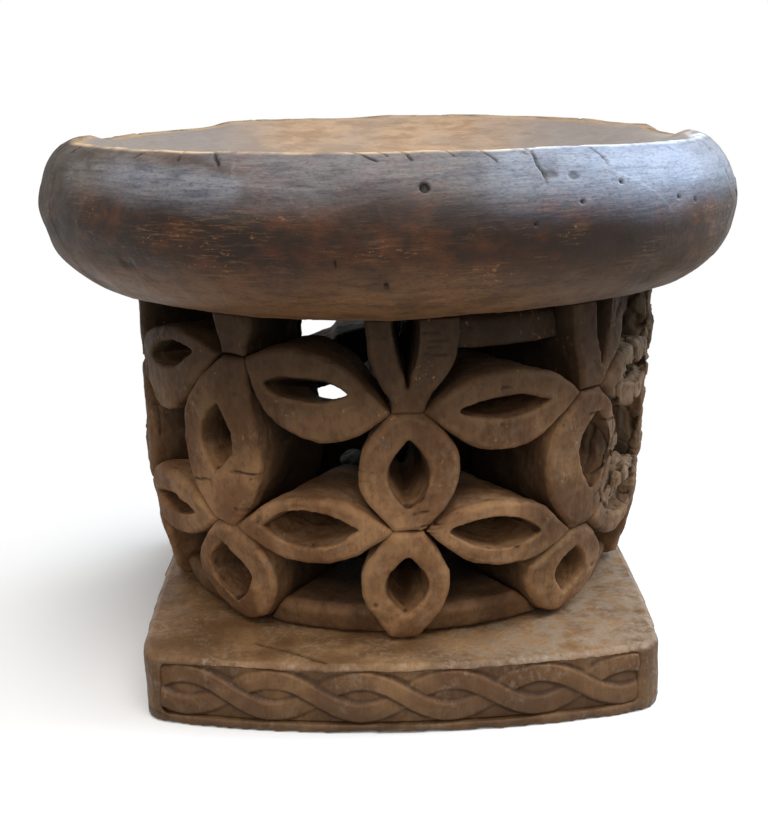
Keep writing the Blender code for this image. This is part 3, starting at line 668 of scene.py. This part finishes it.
def mask_seat(surface, level):
    """Stores where the dish with painted grey shade on its sides, the worn crest, the polished band with
    its painted sheen and highlight, the painted bounce light low on the rim and the shade lie.
    """
    points = surface.points
    inner = 1 - step(surface.radius, *DISH_COLOUR_EDGE)
    surface.mask("dish", inner * step(surface.normals[:, 2], 0.1, 0.4))
    # Painted grey shade on the dish's sides
    surface.mask("flank", inner * step(np.abs(points[:, 0]), 0.060, 0.140))
    surface.mask("crest", between(surface.radius, 0.2005, 0.206, 0.004) * step(level, 0.336, 0.343))
    surface.mask("front", between(surface.turn, -62, 18, 22))
    # The rim's bands have wavy borders, and the polished band with its painted sheen comes in three patches
    wave = level + 0.006 * noise(points, (0.07, 0.07, 0.2), 57) + 0.002 * noise(points, 0.02, 59)
    side = surface.turn + 5 * noise(points, 0.03, 60)
    right = between(side, 22, 76, 14)
    left = between(side, -54, -26, 9) * (1 - step(wave, 0.332, 0.342))
    middle = 0.55 * between(side, -20, 8, 12)
    polish_and_sheen = 0.28 + 0.72 * np.maximum(right, np.maximum(left, middle))
    band = step(wave, 0.309, 0.331)
    surface.mask("upper", band * (1 - inner) * polish_and_sheen)
    # Painted orange bounce light low on the rim
    surface.mask("lower", 1 - step(wave, 0.262, 0.294))
    # Painted bluish reflection of the window light on the right, and a little on the left patch
    surface.mask("cool_sheen", np.maximum(between(surface.turn, 28, 80, 22), 0.35 * left))
    # Painted highlight, strongest on the upper right, faint on the left and middle patches
    sheen = 0.92 * np.exp(-(((side - 44) / 25) ** 2)) * step(wave, 0.300, 0.336)
    sheen = np.maximum(sheen, 0.26 * band * np.maximum(left * step(side, -50, -38), middle))
    surface.mask("gleam", sheen * (1 - inner))
    right_foot = 0.62 * between(surface.turn, 44, 100, 36) * (1 - step(wave, 0.275, 0.300))
    surface.mask("shade", np.maximum(between(surface.turn, -124, -92, 56), right_foot))


def carve_seat(material):
    obj = bpy.data.objects.new("carved_seat", make_seat_mesh())
    scene.collection.objects.link(obj)
    surface = Surface(obj.data)
    # Heights from before the cutting, for the masks to go by
    level = surface.height.copy()
    checks, chips = shape_seat(surface, level)
    mask_seat(surface, level)
    surface.mask("cut", np.maximum(checks / CHECK_DARKEST, chips / CHIP_DARKEST))
    place_piece(obj, "seat", material)


# Plinth
# Its four faces: turn, half length, distance from the axis and bow
PLINTH_FACES = (
    (0.0, 0.157, 0.168, 0.025),
    (math.radians(90.7), 0.168, 0.158, 0.007),
    (math.pi, 0.157, 0.168, 0.025),
    (-math.pi / 2, 0.168, 0.157, 0.007),
)
PLINTH_EASING = 3
PLINTH_INSET = 0.0010
PLINTH_LAYERS = ((0.0010, 0.05, 61), (0.0004, 0.016, 62))
TOP_SCOOP_DEPTH = 0.0009
TOP_SCOOP_SIZE = (0.032, 0.024, 0.03)
FACE_SCOOP_DEPTH = 0.0005
FACE_SCOOP_SIZE = 0.016

# The bottom edge is chipped, most of all at one corner
EDGE_CHIP = 0.0035
EDGE_CHIP_LIMIT = 0.010
BROKEN_CORNER = (-0.157, -0.168)
BROKEN_CORNER_SHARE = 2.2

# A crack in the top: where it starts, its slope, length and half width, and its depth
TOP_CRACK_START = (-0.084, -0.157)
TOP_CRACK_SLOPE = -0.72
TOP_CRACK_LENGTH = 0.038
TOP_CRACK_HALF_WIDTH = 0.0009
TOP_CRACK_DEPTH = 0.0012

# The plinth and its braids are darker on upright faces and towards the ground
FOOT_DARKENING_HEIGHTS = (0.002, 0.034)
FOOT_DARKENING_SHARE = 0.55
FACE_DARKENING_SHARE = 0.36


def bow_radius(half_length, bow):
    return (half_length**2 + bow**2) / (2 * bow)


def face_sink(points):
    """How far each point lies behind the nearest of the plinth's bowed faces."""
    sink = np.full(len(points), 9.0)
    for turn, half_length, distance, bow in PLINTH_FACES:
        radius = bow_radius(half_length, bow)
        across = points[:, 0] * math.cos(turn) + points[:, 1] * math.sin(turn)
        out = points[:, 0] * math.sin(turn) - points[:, 1] * math.cos(turn)
        sink = np.minimum(sink, radius - np.hypot(across, out - distance - bow + radius))
    return sink


def foot_darkening(surface):
    return FOOT_DARKENING_SHARE * (1 - step(surface.height, *FOOT_DARKENING_HEIGHTS))


def carve_plinth(material):
    obj = fine_copy("plinth", PLINTH_VOXEL, PLINTH_EASING)
    surface = Surface(obj.data)
    points = surface.points
    top = step(surface.height, PLINTH_HEIGHT - 0.006, PLINTH_HEIGHT - 0.001)
    heights = unevenness(points, PLINTH_LAYERS) - PLINTH_INSET
    heights += TOP_SCOOP_DEPTH * top * scoops(points, TOP_SCOOP_SIZE, 63)
    heights += FACE_SCOOP_DEPTH * (1 - top) * scoops(points, FACE_SCOOP_SIZE, 64)
    edge = surface.spread((np.abs(surface.normals[:, 2]) < 0.5).astype(float), 5)
    foot = (1 - step(surface.height, 0.0, 0.008)) * step(edge, 0.05, 0.6)
    chips = foot * step(noise(points, (0.03, 0.03, 0.2), 65), 0.1, 0.7)
    corner = np.hypot(points[:, 0] - BROKEN_CORNER[0], points[:, 1] - BROKEN_CORNER[1])
    chips = np.maximum(chips, BROKEN_CORNER_SHARE * foot * (1 - step(corner, 0.004, 0.024)))
    along = points[:, 0] - TOP_CRACK_START[0]
    off = points[:, 1] - TOP_CRACK_START[1] - TOP_CRACK_SLOPE * along + 0.0012 * noise(points, 0.008, 66)
    crack = np.exp(-((off / TOP_CRACK_HALF_WIDTH) ** 2)) * between(along, 0.0, TOP_CRACK_LENGTH, 0.006)
    crack *= top
    surface.push(heights - TOP_CRACK_DEPTH * crack)
    points[:, 2] += EDGE_CHIP * chips * (points[:, 2] < EDGE_CHIP_LIMIT)
    points[:] = np.clip(points, *np.array(cad_bounds))
    surface.store()
    bend = surface.curvature(2)
    surface.mask("wear", 0.6 * step(bend, 40, 220))
    # Dirt and painted shade in the hollows
    surface.mask("grime_and_shade", step(-bend, 30, 200))
    # Painted grey sheen on the right of the top
    surface.mask("weathering_and_sheen", top * step(points[:, 0] - 0.4 * points[:, 1], 0.06, 0.17))
    surface.mask("cut", crack)
    upright = 1 - step(surface.normals[:, 2], 0.35, 0.80)
    surface.mask("shade_and_darkening", np.maximum(FACE_DARKENING_SHARE * upright, foot_darkening(surface)))
    place_piece(obj, "plinth", material)


# Braids
# Sunk panel, and the two broad strands that cross over and under in it
PANEL_LOW = 0.007
PANEL_HIGH = 0.039
PANEL_SINK = 0.007
PANEL_END_BORDER = 0.012
PANEL_LAP = 0.0007
BRAID_CROSSINGS = 5.4
BRAID_SHIFT = 0.004
BRAID_SWAY = 0.0104
BRAID_STRAND_WIDTH = 0.0140
BRAID_FLOOR = 0.0024
BRAID_LOW = 0.0040
BRAID_HIGH = 0.0066
STRAND_ROUNDING = 0.12
STRAND_EDGE = (0.66, 1.04)
BRAID_LAYERS = ((0.0007, 0.026, 66), (0.0002, 0.004, 68))
BRAID_SCOOP_DEPTH = 0.0004
BRAID_SCOOP_SIZE = 0.013


def braid_height(along, up, half):
    """How far the relief stands above the panel's sunk floor."""
    rate = math.pi * BRAID_CROSSINGS / (2 * half)
    phase = rate * (along - BRAID_SHIFT)
    total = np.full(along.shape, BRAID_FLOOR)
    for sign in (1, -1):
        centre = (PANEL_LOW + PANEL_HIGH) / 2 + sign * BRAID_SWAY * np.sin(phase)
        lift = (1 - sign * np.cos(phase)) / 2
        crown = BRAID_LOW + (BRAID_HIGH - BRAID_LOW) * lift
        reach = BRAID_STRAND_WIDTH / 2 * np.hypot(1.0, BRAID_SWAY * rate * np.cos(phase))
        off = np.abs(up - centre) / reach
        section = (1 - STRAND_ROUNDING * off**2) * (1 - step(off, *STRAND_EDGE))
        total = np.maximum(total, BRAID_FLOOR + (crown - BRAID_FLOOR) * section)
    return total


def on_face(face, along, up, out):
    """Points on one of the plinth's bowed faces, this far along it from its middle and out from it."""
    turn, half_length, distance, bow = face
    radius = bow_radius(half_length, bow)
    angle = np.arcsin(along / radius)
    x = (radius + out) * np.sin(angle)
    y = -(distance + bow - radius + (radius + out) * np.cos(angle))
    turned = (x * math.cos(turn) - y * math.sin(turn), x * math.sin(turn) + y * math.cos(turn), up)
    return np.stack(turned, axis=-1)


def make_relief_mesh(name, face):
    """A panel's relief on a slab whose edges run a little into the panel's walls."""
    half = face[1] - PANEL_END_BORDER
    columns = int(2 * half / BRAID_STEP)
    rows = int((PANEL_HIGH - PANEL_LOW) / BRAID_STEP)
    along = np.linspace(-half - PANEL_LAP, half + PANEL_LAP, columns)
    up = np.linspace(PANEL_LOW - PANEL_LAP, PANEL_HIGH + PANEL_LAP, rows)
    along, up = np.meshgrid(along, up, indexing="ij")
    front = on_face(face, along, up, braid_height(along, up, half) - PANEL_SINK)
    ends = up[:, [0, -1]]
    back = on_face(face, along[:, :2], ends, np.full(ends.shape, -PANEL_SINK - PANEL_LAP))
    points = np.vstack([front.reshape(-1, 3), back.reshape(-1, 3)])
    behind = columns * rows
    faces = []
    for i in range(columns - 1):
        here = i * rows
        there = here + rows
        faces += [(here + j, there + j, there + j + 1, here + j + 1) for j in range(rows - 1)]
        low, high = behind + 2 * i, behind + 2 * i + 1
        faces.append((low, low + 2, there, here))
        faces.append((here + rows - 1, there + rows - 1, high + 2, high))
        faces.append((high, high + 2, low + 2, low))
    first = list(range(rows))
    faces.append((behind, *first, behind + 1))
    last = [(columns - 1) * rows + j for j in range(rows)]
    faces.append((behind + 2 * columns - 1, *reversed(last), behind + 2 * columns - 2))
    mesh = bpy.data.meshes.new(name)
    mesh.from_pydata(points.tolist(), [], faces)
    mesh.update()
    return mesh


def carve_braid(node, face, material):
    obj = bpy.data.objects.new("carved_" + node, make_relief_mesh("carved_" + node, face))
    scene.collection.objects.link(obj)
    surface = Surface(obj.data)
    points = surface.points
    heights = unevenness(points, BRAID_LAYERS) + BRAID_SCOOP_DEPTH * scoops(points, BRAID_SCOOP_SIZE, 67)
    shown = between(face_sink(points), 0.0, PANEL_SINK - 0.0015, 0.0006)
    surface.push(heights * shown)
    bend = surface.curvature(5)
    surface.mask("wear", 0.5 * step(bend, 60, 300))
    # Dirt and painted shade in the hollows
    surface.mask("grime_and_shade", 0.8 * step(-bend, 30, 220))
    surface.mask("shade_and_darkening", foot_darkening(surface))
    place_piece(obj, node, material)


# Materials
class Wood:
    """A wood material under construction, with the steps that all the woods share."""

    def __init__(self, name):
        self.material = bpy.data.materials.new(name)
        self.material.use_nodes = True
        self.tree = self.material.node_tree
        self.shader = self.tree.nodes["Principled BSDF"]
        self.place = self.add("ShaderNodeTexCoord").outputs["Object"]

    def add(self, kind):
        return self.tree.nodes.new(kind)

    def join(self, value, socket):
        """Links an output to an input, or sets the input to a plain value."""
        if isinstance(value, bpy.types.NodeSocket):
            self.tree.links.new(value, socket)
        else:
            socket.default_value = value

    def attribute(self, name):
        """A mask stored on the mesh, or zero where the mesh has none of this name."""
        node = self.add("ShaderNodeAttribute")
        node.attribute_name = name
        return node.outputs["Fac"]

    def scaled(self, size):
        """Places counted in this size in metres, one number per axis."""
        mapping = self.add("ShaderNodeMapping")
        mapping.inputs["Scale"].default_value = [1 / axis for axis in size]
        self.join(self.place, mapping.inputs["Vector"])
        return mapping.outputs["Vector"]

    def noise(self, size, detail=3.0, roughness=0.55, distortion=0.0):
        """Noise from 0 to 1 with bumps of this size."""
        node = self.add("ShaderNodeTexNoise")
        self.join(self.scaled(size), node.inputs["Vector"])
        node.inputs["Scale"].default_value = 1.0
        node.inputs["Detail"].default_value = detail
        node.inputs["Roughness"].default_value = roughness
        node.inputs["Distortion"].default_value = distortion
        return node.outputs["Fac"]

    def spots(self, size):
        """Distance from the nearest of scattered points, in sizes."""
        node = self.add("ShaderNodeTexVoronoi")
        self.join(self.scaled(size), node.inputs["Vector"])
        node.inputs["Scale"].default_value = 1.0
        return node.outputs["Distance"]

    def ramp(self, value, low, high, start=0.0, end=1.0):
        """Maps low to start and high to end, smoothly and without going past them."""
        node = self.add("ShaderNodeMapRange")
        node.interpolation_type = "SMOOTHSTEP"
        self.join(value, node.inputs["Value"])
        for name, number in (("From Min", low), ("From Max", high), ("To Min", start), ("To Max", end)):
            node.inputs[name].default_value = number
        return node.outputs["Result"]

    def math(self, operation, a, b):
        node = self.add("ShaderNodeMath")
        node.operation = operation
        node.use_clamp = operation in ("ADD", "SUBTRACT")
        self.join(a, node.inputs[0])
        self.join(b, node.inputs[1])
        return node.outputs["Value"]

    def times(self, *values):
        total = values[0]
        for value in values[1:]:
            total = self.math("MULTIPLY", total, value)
        return total

    def mix(self, share, a, b):
        """Goes from colour a to colour b by this share."""
        node = self.add("ShaderNodeMix")
        node.data_type = "RGBA"
        self.join(share, node.inputs[0])
        self.join(a, node.inputs[6])
        self.join(b, node.inputs[7])
        return node.outputs[2]

    def bump(self, *layers):
        """Stacks fine relief: (height, distance in metres, strength) for each layer."""
        normal = None
        for height, distance, strength in layers:
            node = self.add("ShaderNodeBump")
            node.inputs["Distance"].default_value = distance
            node.inputs["Strength"].default_value = strength
            self.join(height, node.inputs["Height"])
            if normal is not None:
                self.join(normal, node.inputs["Normal"])
            normal = node.outputs["Normal"]
        self.join(normal, self.shader.inputs["Normal"])

    def finish(self, colour, roughness, shine):
        self.join(colour, self.shader.inputs["Base Color"])
        self.join(roughness, self.shader.inputs["Roughness"])
        self.shader.inputs["Specular IOR Level"].default_value = shine
        return self.material


def tint(red, green, blue):
    """A colour from screen values of 0 to 255."""
    channels = []
    for value in (red, green, blue):
        share = value / 255
        channels.append(share / 12.92 if share <= 0.04045 else ((share + 0.055) / 1.055) ** 2.4)
    return (*channels, 1.0)


# Dry carved woods: screen colours of light, dark and worn wood, of grime and painted shade, and of grey
# wood (on the plinth's top also a painted sheen), then shine and roughness
CARVED_WOODS = {
    "leaf_wood": ((148, 111, 77), (106, 74, 49), (166, 124, 82), (24, 17, 11), (122, 105, 87), 0.12, 0.66),
    "ring_wood": ((114, 84, 57), (80, 55, 36), (134, 97, 62), (24, 17, 11), (100, 86, 72), 0.12, 0.70),
    "plinth_wood": ((136, 104, 71), (98, 70, 44), (128, 98, 68), (48, 31, 18), (146, 130, 112), 0.20, 0.50),
    "braid_wood": ((124, 92, 60), (91, 63, 39), (146, 111, 74), (46, 29, 16), (120, 103, 84), 0.20, 0.50),
}
ROUGHNESS_RANGE = 0.08
SEAT_SHINE = 0.20


def carved_wood(name):
    """Mottled patches, pores, worn edges, dirt and painted shade in the hollows and further in, painted
    shade under the seat and other darkening, and grey weathering with a painted sheen on the plinth's top.
    """
    *colours, shine, roughness = CARVED_WOODS[name]
    light, dark, worn, grime_and_shade, grey = (tint(*colour) for colour in colours)
    wood = Wood(name)
    grain = wood.noise((0.0016, 0.0016, 0.026), 4.0, 0.6, 0.4)
    broad = wood.noise((0.035, 0.035, 0.045), 3.0, 0.5)
    blotch = wood.noise((0.011, 0.011, 0.014), 5.0, 0.65)
    mottle = wood.noise((0.0040, 0.0040, 0.0055), 5.0, 0.7)
    speck = wood.noise((0.0024, 0.0024, 0.0030), 2.0, 0.5)
    patch = wood.noise((0.022, 0.024, 0.020), 2.0, 0.5)
    pore = wood.ramp(wood.spots((0.0075, 0.0075, 0.0100)), 0.15, 0.06)
    colour = wood.mix(wood.ramp(broad, 0.38, 0.64), light, dark)
    colour = wood.mix(wood.ramp(blotch, 0.42, 0.62, 0.0, 0.55), colour, dark)
    colour = wood.mix(wood.ramp(mottle, 0.48, 0.70, 0.0, 0.24), colour, grime_and_shade)
    colour = wood.mix(wood.ramp(grain, 0.50, 0.72, 0.0, 0.22), colour, grime_and_shade)
    dusty = wood.times(wood.ramp(mottle, 0.52, 0.36), wood.ramp(patch, 0.42, 0.62), 0.55)
    colour = wood.mix(dusty, colour, grey)
    edge = wood.times(wood.attribute("wear"), wood.ramp(blotch, 0.40, 0.60), wood.ramp(patch, 0.36, 0.58))
    colour = wood.mix(wood.times(edge, 0.42), colour, worn)
    # Painted shade under the seat, and darker wood on the right flank, on the plinth's upright faces and
    # near the ground
    colour = wood.mix(wood.times(wood.attribute("shade_and_darkening"), 0.86), colour, grime_and_shade)
    flaked = wood.times(wood.ramp(speck, 0.62, 0.70), wood.ramp(patch, 0.54, 0.64), 0.4)
    colour = wood.mix(flaked, colour, worn)
    # Grey weathering on the drum's flanks, and on the plinth's top a painted grey sheen
    weathered = wood.times(wood.attribute("weathering_and_sheen"), wood.ramp(blotch, 0.36, 0.62), 0.6)
    colour = wood.mix(weathered, colour, grey)
    pitted = wood.times(pore, wood.ramp(patch, 0.50, 0.62), 0.45)
    colour = wood.mix(pitted, colour, grime_and_shade)
    # Dirt and painted shade in the hollows, and painted shade deepening further in
    colour = wood.mix(wood.times(wood.attribute("grime_and_shade"), 0.94), colour, grime_and_shade)
    colour = wood.mix(wood.times(wood.attribute("cut"), 0.7), colour, grime_and_shade)
    gloss = wood.ramp(mottle, 0.3, 0.7, roughness - ROUGHNESS_RANGE, roughness + ROUGHNESS_RANGE)
    hollow = wood.math("SUBTRACT", 1.0, pitted)
    wood.bump((grain, 0.0006, 0.35), (mottle, 0.0014, 0.45), (blotch, 0.0022, 0.30), (hollow, 0.0008, 0.6))
    return wood.finish(colour, gloss, shine)


def seat_material():
    """The handled seat: a dark polished rim with a painted sheen and highlight, painted orange bounce light
    low down, a worn crest and scuffs, and a tan dish with painted grey shade on its sides.
    """
    wood = Wood("seat_wood")
    fine = wood.noise((0.0030, 0.0030, 0.0011), 4.0, 0.6, 0.3)
    scratch = wood.noise((0.016, 0.016, 0.0013), 5.0, 0.7, 0.3)
    streak = wood.noise((0.022, 0.022, 0.0045), 5.0, 0.65, 0.2)
    blotch = wood.noise((0.016, 0.016, 0.012), 5.0, 0.65)
    broad = wood.noise((0.055, 0.055, 0.030), 4.0, 0.6)
    speck = wood.noise((0.0040, 0.0040, 0.0020), 4.0, 0.65)
    patch = wood.noise((0.045, 0.045, 0.022), 3.0, 0.55)
    colour = wood.mix(wood.ramp(blotch, 0.35, 0.65), tint(72, 41, 22), tint(41, 26, 16))
    colour = wood.mix(wood.ramp(broad, 0.42, 0.58, 0.0, 0.85), colour, tint(30, 21, 15))
    # Painted orange bounce light on the rim's lower band
    warm_bounce = wood.times(wood.attribute("lower"), wood.ramp(streak, 0.34, 0.60, 0.45, 0.95))
    colour = wood.mix(warm_bounce, colour, tint(108, 76, 48))
    # Grey polished band painted lighter as a sheen, and bluish on the right as a reflection
    polish_and_sheen = wood.mix(wood.attribute("cool_sheen"), tint(108, 100, 92), tint(118, 122, 128))
    polish_and_sheen = wood.mix(wood.ramp(scratch, 0.42, 0.62, 0.0, 0.45), polish_and_sheen, tint(78, 70, 66))
    patina_and_sheen = wood.times(wood.attribute("upper"), wood.ramp(streak, 0.34, 0.58, 0.35, 1.0))
    colour = wood.mix(patina_and_sheen, colour, polish_and_sheen)
    # Painted bluish highlight
    gleam = wood.times(wood.attribute("gleam"), wood.ramp(scratch, 0.34, 0.62, 0.9, 0.55))
    colour = wood.mix(gleam, colour, tint(138, 155, 182))
    colour = wood.mix(wood.ramp(fine, 0.48, 0.68, 0.0, 0.40), colour, tint(36, 25, 18))
    rubbed = wood.times(wood.ramp(scratch, 0.50, 0.36), wood.ramp(patch, 0.42, 0.62), 0.30)
    colour = wood.mix(rubbed, colour, tint(134, 98, 66))
    outside_upper_band = wood.math("SUBTRACT", 1.0, wood.attribute("upper"))
    scuffed = wood.times(wood.ramp(speck, 0.59, 0.67), wood.ramp(patch, 0.47, 0.63), outside_upper_band, 0.62)
    colour = wood.mix(scuffed, colour, tint(142, 100, 62))
    colour = wood.mix(wood.times(wood.attribute("shade"), 0.88), colour, tint(36, 27, 14))
    tan = wood.mix(wood.ramp(streak, 0.38, 0.64), tint(152, 127, 102), tint(130, 105, 81))
    tan = wood.mix(wood.ramp(broad, 0.46, 0.66, 0.0, 0.45), tan, tint(124, 112, 102))
    # Painted grey shade on the dish's sides
    tan = wood.mix(wood.times(wood.attribute("flank"), 0.8), tan, tint(112, 107, 105))
    tan = wood.mix(wood.ramp(scratch, 0.54, 0.70, 0.0, 0.35), tan, tint(92, 74, 58))
    colour = wood.mix(wood.times(wood.attribute("dish"), 0.95), colour, tan)
    # The worn crest, painted bluish white on the right as a sheen
    worn_crest_and_sheen = wood.mix(wood.attribute("cool_sheen"), tint(186, 158, 124), tint(206, 212, 220))
    share = wood.math("ADD", wood.times(wood.attribute("front"), 0.5), 0.45)
    share = wood.math("ADD", share, wood.times(wood.attribute("cool_sheen"), 0.4))
    crest = wood.times(wood.attribute("crest"), wood.ramp(streak, 0.36, 0.60, 0.25, 1.0), share)
    colour = wood.mix(crest, colour, worn_crest_and_sheen)
    colour = wood.mix(wood.times(wood.attribute("cut"), 0.9), colour, tint(24, 17, 12))
    gloss = wood.ramp(blotch, 0.3, 0.7, 0.40, 0.52)
    gloss = wood.math("ADD", gloss, wood.times(wood.attribute("shade"), 0.3))
    wood.bump((scratch, 0.0005, 0.35), (fine, 0.0004, 0.35), (speck, 0.0006, 0.35), (blotch, 0.0020, 0.25))
    return wood.finish(colour, gloss, SEAT_SHINE)


# Stage
FLOOR_RADIUS = 12.0
FLOOR_LIT = (0.42, 0.42, 0.42, 1.0)
FLOOR_SHOWN = (0.90, 0.90, 0.90, 1.0)
FLOOR_FADE = (0.18, 0.42)
WHITE = (1.0, 1.0, 1.0, 1.0)
WORLD_STRENGTH = 0.20

# Softboxes: name, place, the point each faces, width and height, power in watts, and colour
SOFTBOXES = (
    ("top_box", (0.05, -0.6, 1.85), (0, 0, 0.2), (1.8, 1.8), 44, (1.0, 0.98, 0.96)),
    ("front_box", (-0.1, -2.1, 1.0), (0, 0, 0.2), (2.2, 1.0), 17, (1.0, 0.97, 0.92)),
    ("window_box", (1.65, 0.3, 1.5), (0, 0, 0.3), (1.7, 1.3), 60, (0.76, 0.88, 1.0)),
)

# The photograph's camera: sizes in pixels, angles in degrees and place in metres
PHOTO_HEIGHT = 832
FOCAL_LENGTH = 1400
OPTICAL_ROW = 401.7
CAMERA_PLACE = (-0.006, -0.953, 0.397)
CAMERA_PITCH = 14.185
CAMERA_ROLL = -1.242
SENSOR_HEIGHT = 36.0


def background_rays(tree):
    """One for the rays that show the background: the camera's own, reflections and rays through glass."""
    path = tree.nodes.new("ShaderNodeLightPath")
    total = path.outputs["Is Camera Ray"]
    for name in ("Is Glossy Ray", "Is Transmission Ray"):
        either = tree.nodes.new("ShaderNodeMath")
        either.operation = "MAXIMUM"
        tree.links.new(total, either.inputs[0])
        tree.links.new(path.outputs[name], either.inputs[1])
        total = either.outputs["Value"]
    return total


def make_floor():
    """A pale floor that takes the shadow near the stool and is plain white further off."""
    bpy.ops.mesh.primitive_circle_add(vertices=96, radius=FLOOR_RADIUS, fill_type="NGON")
    floor = bpy.context.object
    floor.name = "floor"
    material = bpy.data.materials.new("pale_floor")
    material.use_nodes = True
    tree = material.node_tree
    add = tree.nodes.new
    link = tree.links.new
    shader = tree.nodes["Principled BSDF"]
    shader.inputs["Roughness"].default_value = 0.9
    shader.inputs["Specular IOR Level"].default_value = 0.0
    place = add("ShaderNodeTexCoord")
    length = add("ShaderNodeVectorMath")
    length.operation = "LENGTH"
    fade = add("ShaderNodeMapRange")
    fade.interpolation_type = "SMOOTHSTEP"
    fade.inputs["From Min"].default_value, fade.inputs["From Max"].default_value = FLOOR_FADE
    shown = background_rays(tree)
    paint = add("ShaderNodeMix")
    paint.data_type = "RGBA"
    paint.inputs[6].default_value = FLOOR_LIT
    paint.inputs[7].default_value = FLOOR_SHOWN
    link(shown, paint.inputs[0])
    link(paint.outputs[2], shader.inputs["Base Color"])
    seen = add("ShaderNodeMath")
    seen.operation = "MULTIPLY"
    white = add("ShaderNodeEmission")
    mixed = add("ShaderNodeMixShader")
    link(place.outputs["Object"], length.inputs[0])
    link(length.outputs["Value"], fade.inputs["Value"])
    link(shown, seen.inputs[0])
    link(fade.outputs["Result"], seen.inputs[1])
    link(seen.outputs["Value"], mixed.inputs["Fac"])
    link(shader.outputs["BSDF"], mixed.inputs[1])
    link(white.outputs["Emission"], mixed.inputs[2])
    link(mixed.outputs["Shader"], tree.nodes["Material Output"].inputs["Surface"])
    floor.data.materials.append(material)


def make_world():
    """Even grey light, and a plain white background where the camera or a reflection sees it."""
    world = bpy.data.worlds.new("studio")
    scene.world = world
    world.use_nodes = True
    tree = world.node_tree
    add = tree.nodes.new
    link = tree.links.new
    lit = tree.nodes["Background"]
    lit.inputs["Color"].default_value = WHITE
    lit.inputs["Strength"].default_value = WORLD_STRENGTH
    white = add("ShaderNodeBackground")
    white.inputs["Color"].default_value = WHITE
    white.inputs["Strength"].default_value = 1.0
    mixed = add("ShaderNodeMixShader")
    link(background_rays(tree), mixed.inputs["Fac"])
    link(lit.outputs["Background"], mixed.inputs[1])
    link(white.outputs["Background"], mixed.inputs[2])
    link(mixed.outputs["Shader"], tree.nodes["World Output"].inputs["Surface"])


def add_softbox(name, place, target, size, power, colour):
    light = bpy.data.lights.new(name, "AREA")
    light.shape = "RECTANGLE"
    light.size, light.size_y = size
    light.energy = power
    light.color = colour
    obj = bpy.data.objects.new(name, light)
    scene.collection.objects.link(obj)
    aim = Vector(target) - Vector(place)
    obj.rotation_euler = aim.to_track_quat("-Z", "Y").to_euler()
    obj.location = place


def make_camera():
    """The photograph's own view."""
    data = bpy.data.cameras.new("camera")
    data.sensor_fit = "VERTICAL"
    data.sensor_height = SENSOR_HEIGHT
    data.lens = FOCAL_LENGTH * SENSOR_HEIGHT / PHOTO_HEIGHT
    data.shift_y = -(PHOTO_HEIGHT / 2 - OPTICAL_ROW) / PHOTO_HEIGHT
    camera = bpy.data.objects.new("camera", data)
    scene.collection.objects.link(camera)
    tilt = Matrix.Rotation(math.radians(90 - CAMERA_PITCH), 4, "X")
    roll = Matrix.Rotation(math.radians(CAMERA_ROLL), 4, "Z")
    camera.matrix_world = Matrix.Translation(CAMERA_PLACE) @ tilt @ roll
    scene.camera = camera


def main():
    woods = {name: carved_wood(name) for name in CARVED_WOODS}
    carve_seat(seat_material())
    for kind in ("head_leaf", "upper_link_leaf", "middle_leaf", "lower_link_leaf", "foot_leaf"):
        for column in range(1, COLUMNS + 1):
            carve_leaf(f"{kind}_{column}", woods["leaf_wood"])
    carve_ring("collar", woods["ring_wood"])
    carve_ring("sill", woods["ring_wood"])
    carve_plinth(woods["plinth_wood"])
    for side, face in zip(("front", "right", "back", "left"), PLINTH_FACES):
        carve_braid(f"{side}_braid", face, woods["braid_wood"])
    make_camera()
    make_floor()
    make_world()
    for softbox in SOFTBOXES:
        add_softbox(*softbox)
    scene.view_settings.view_transform = "Standard"


main()
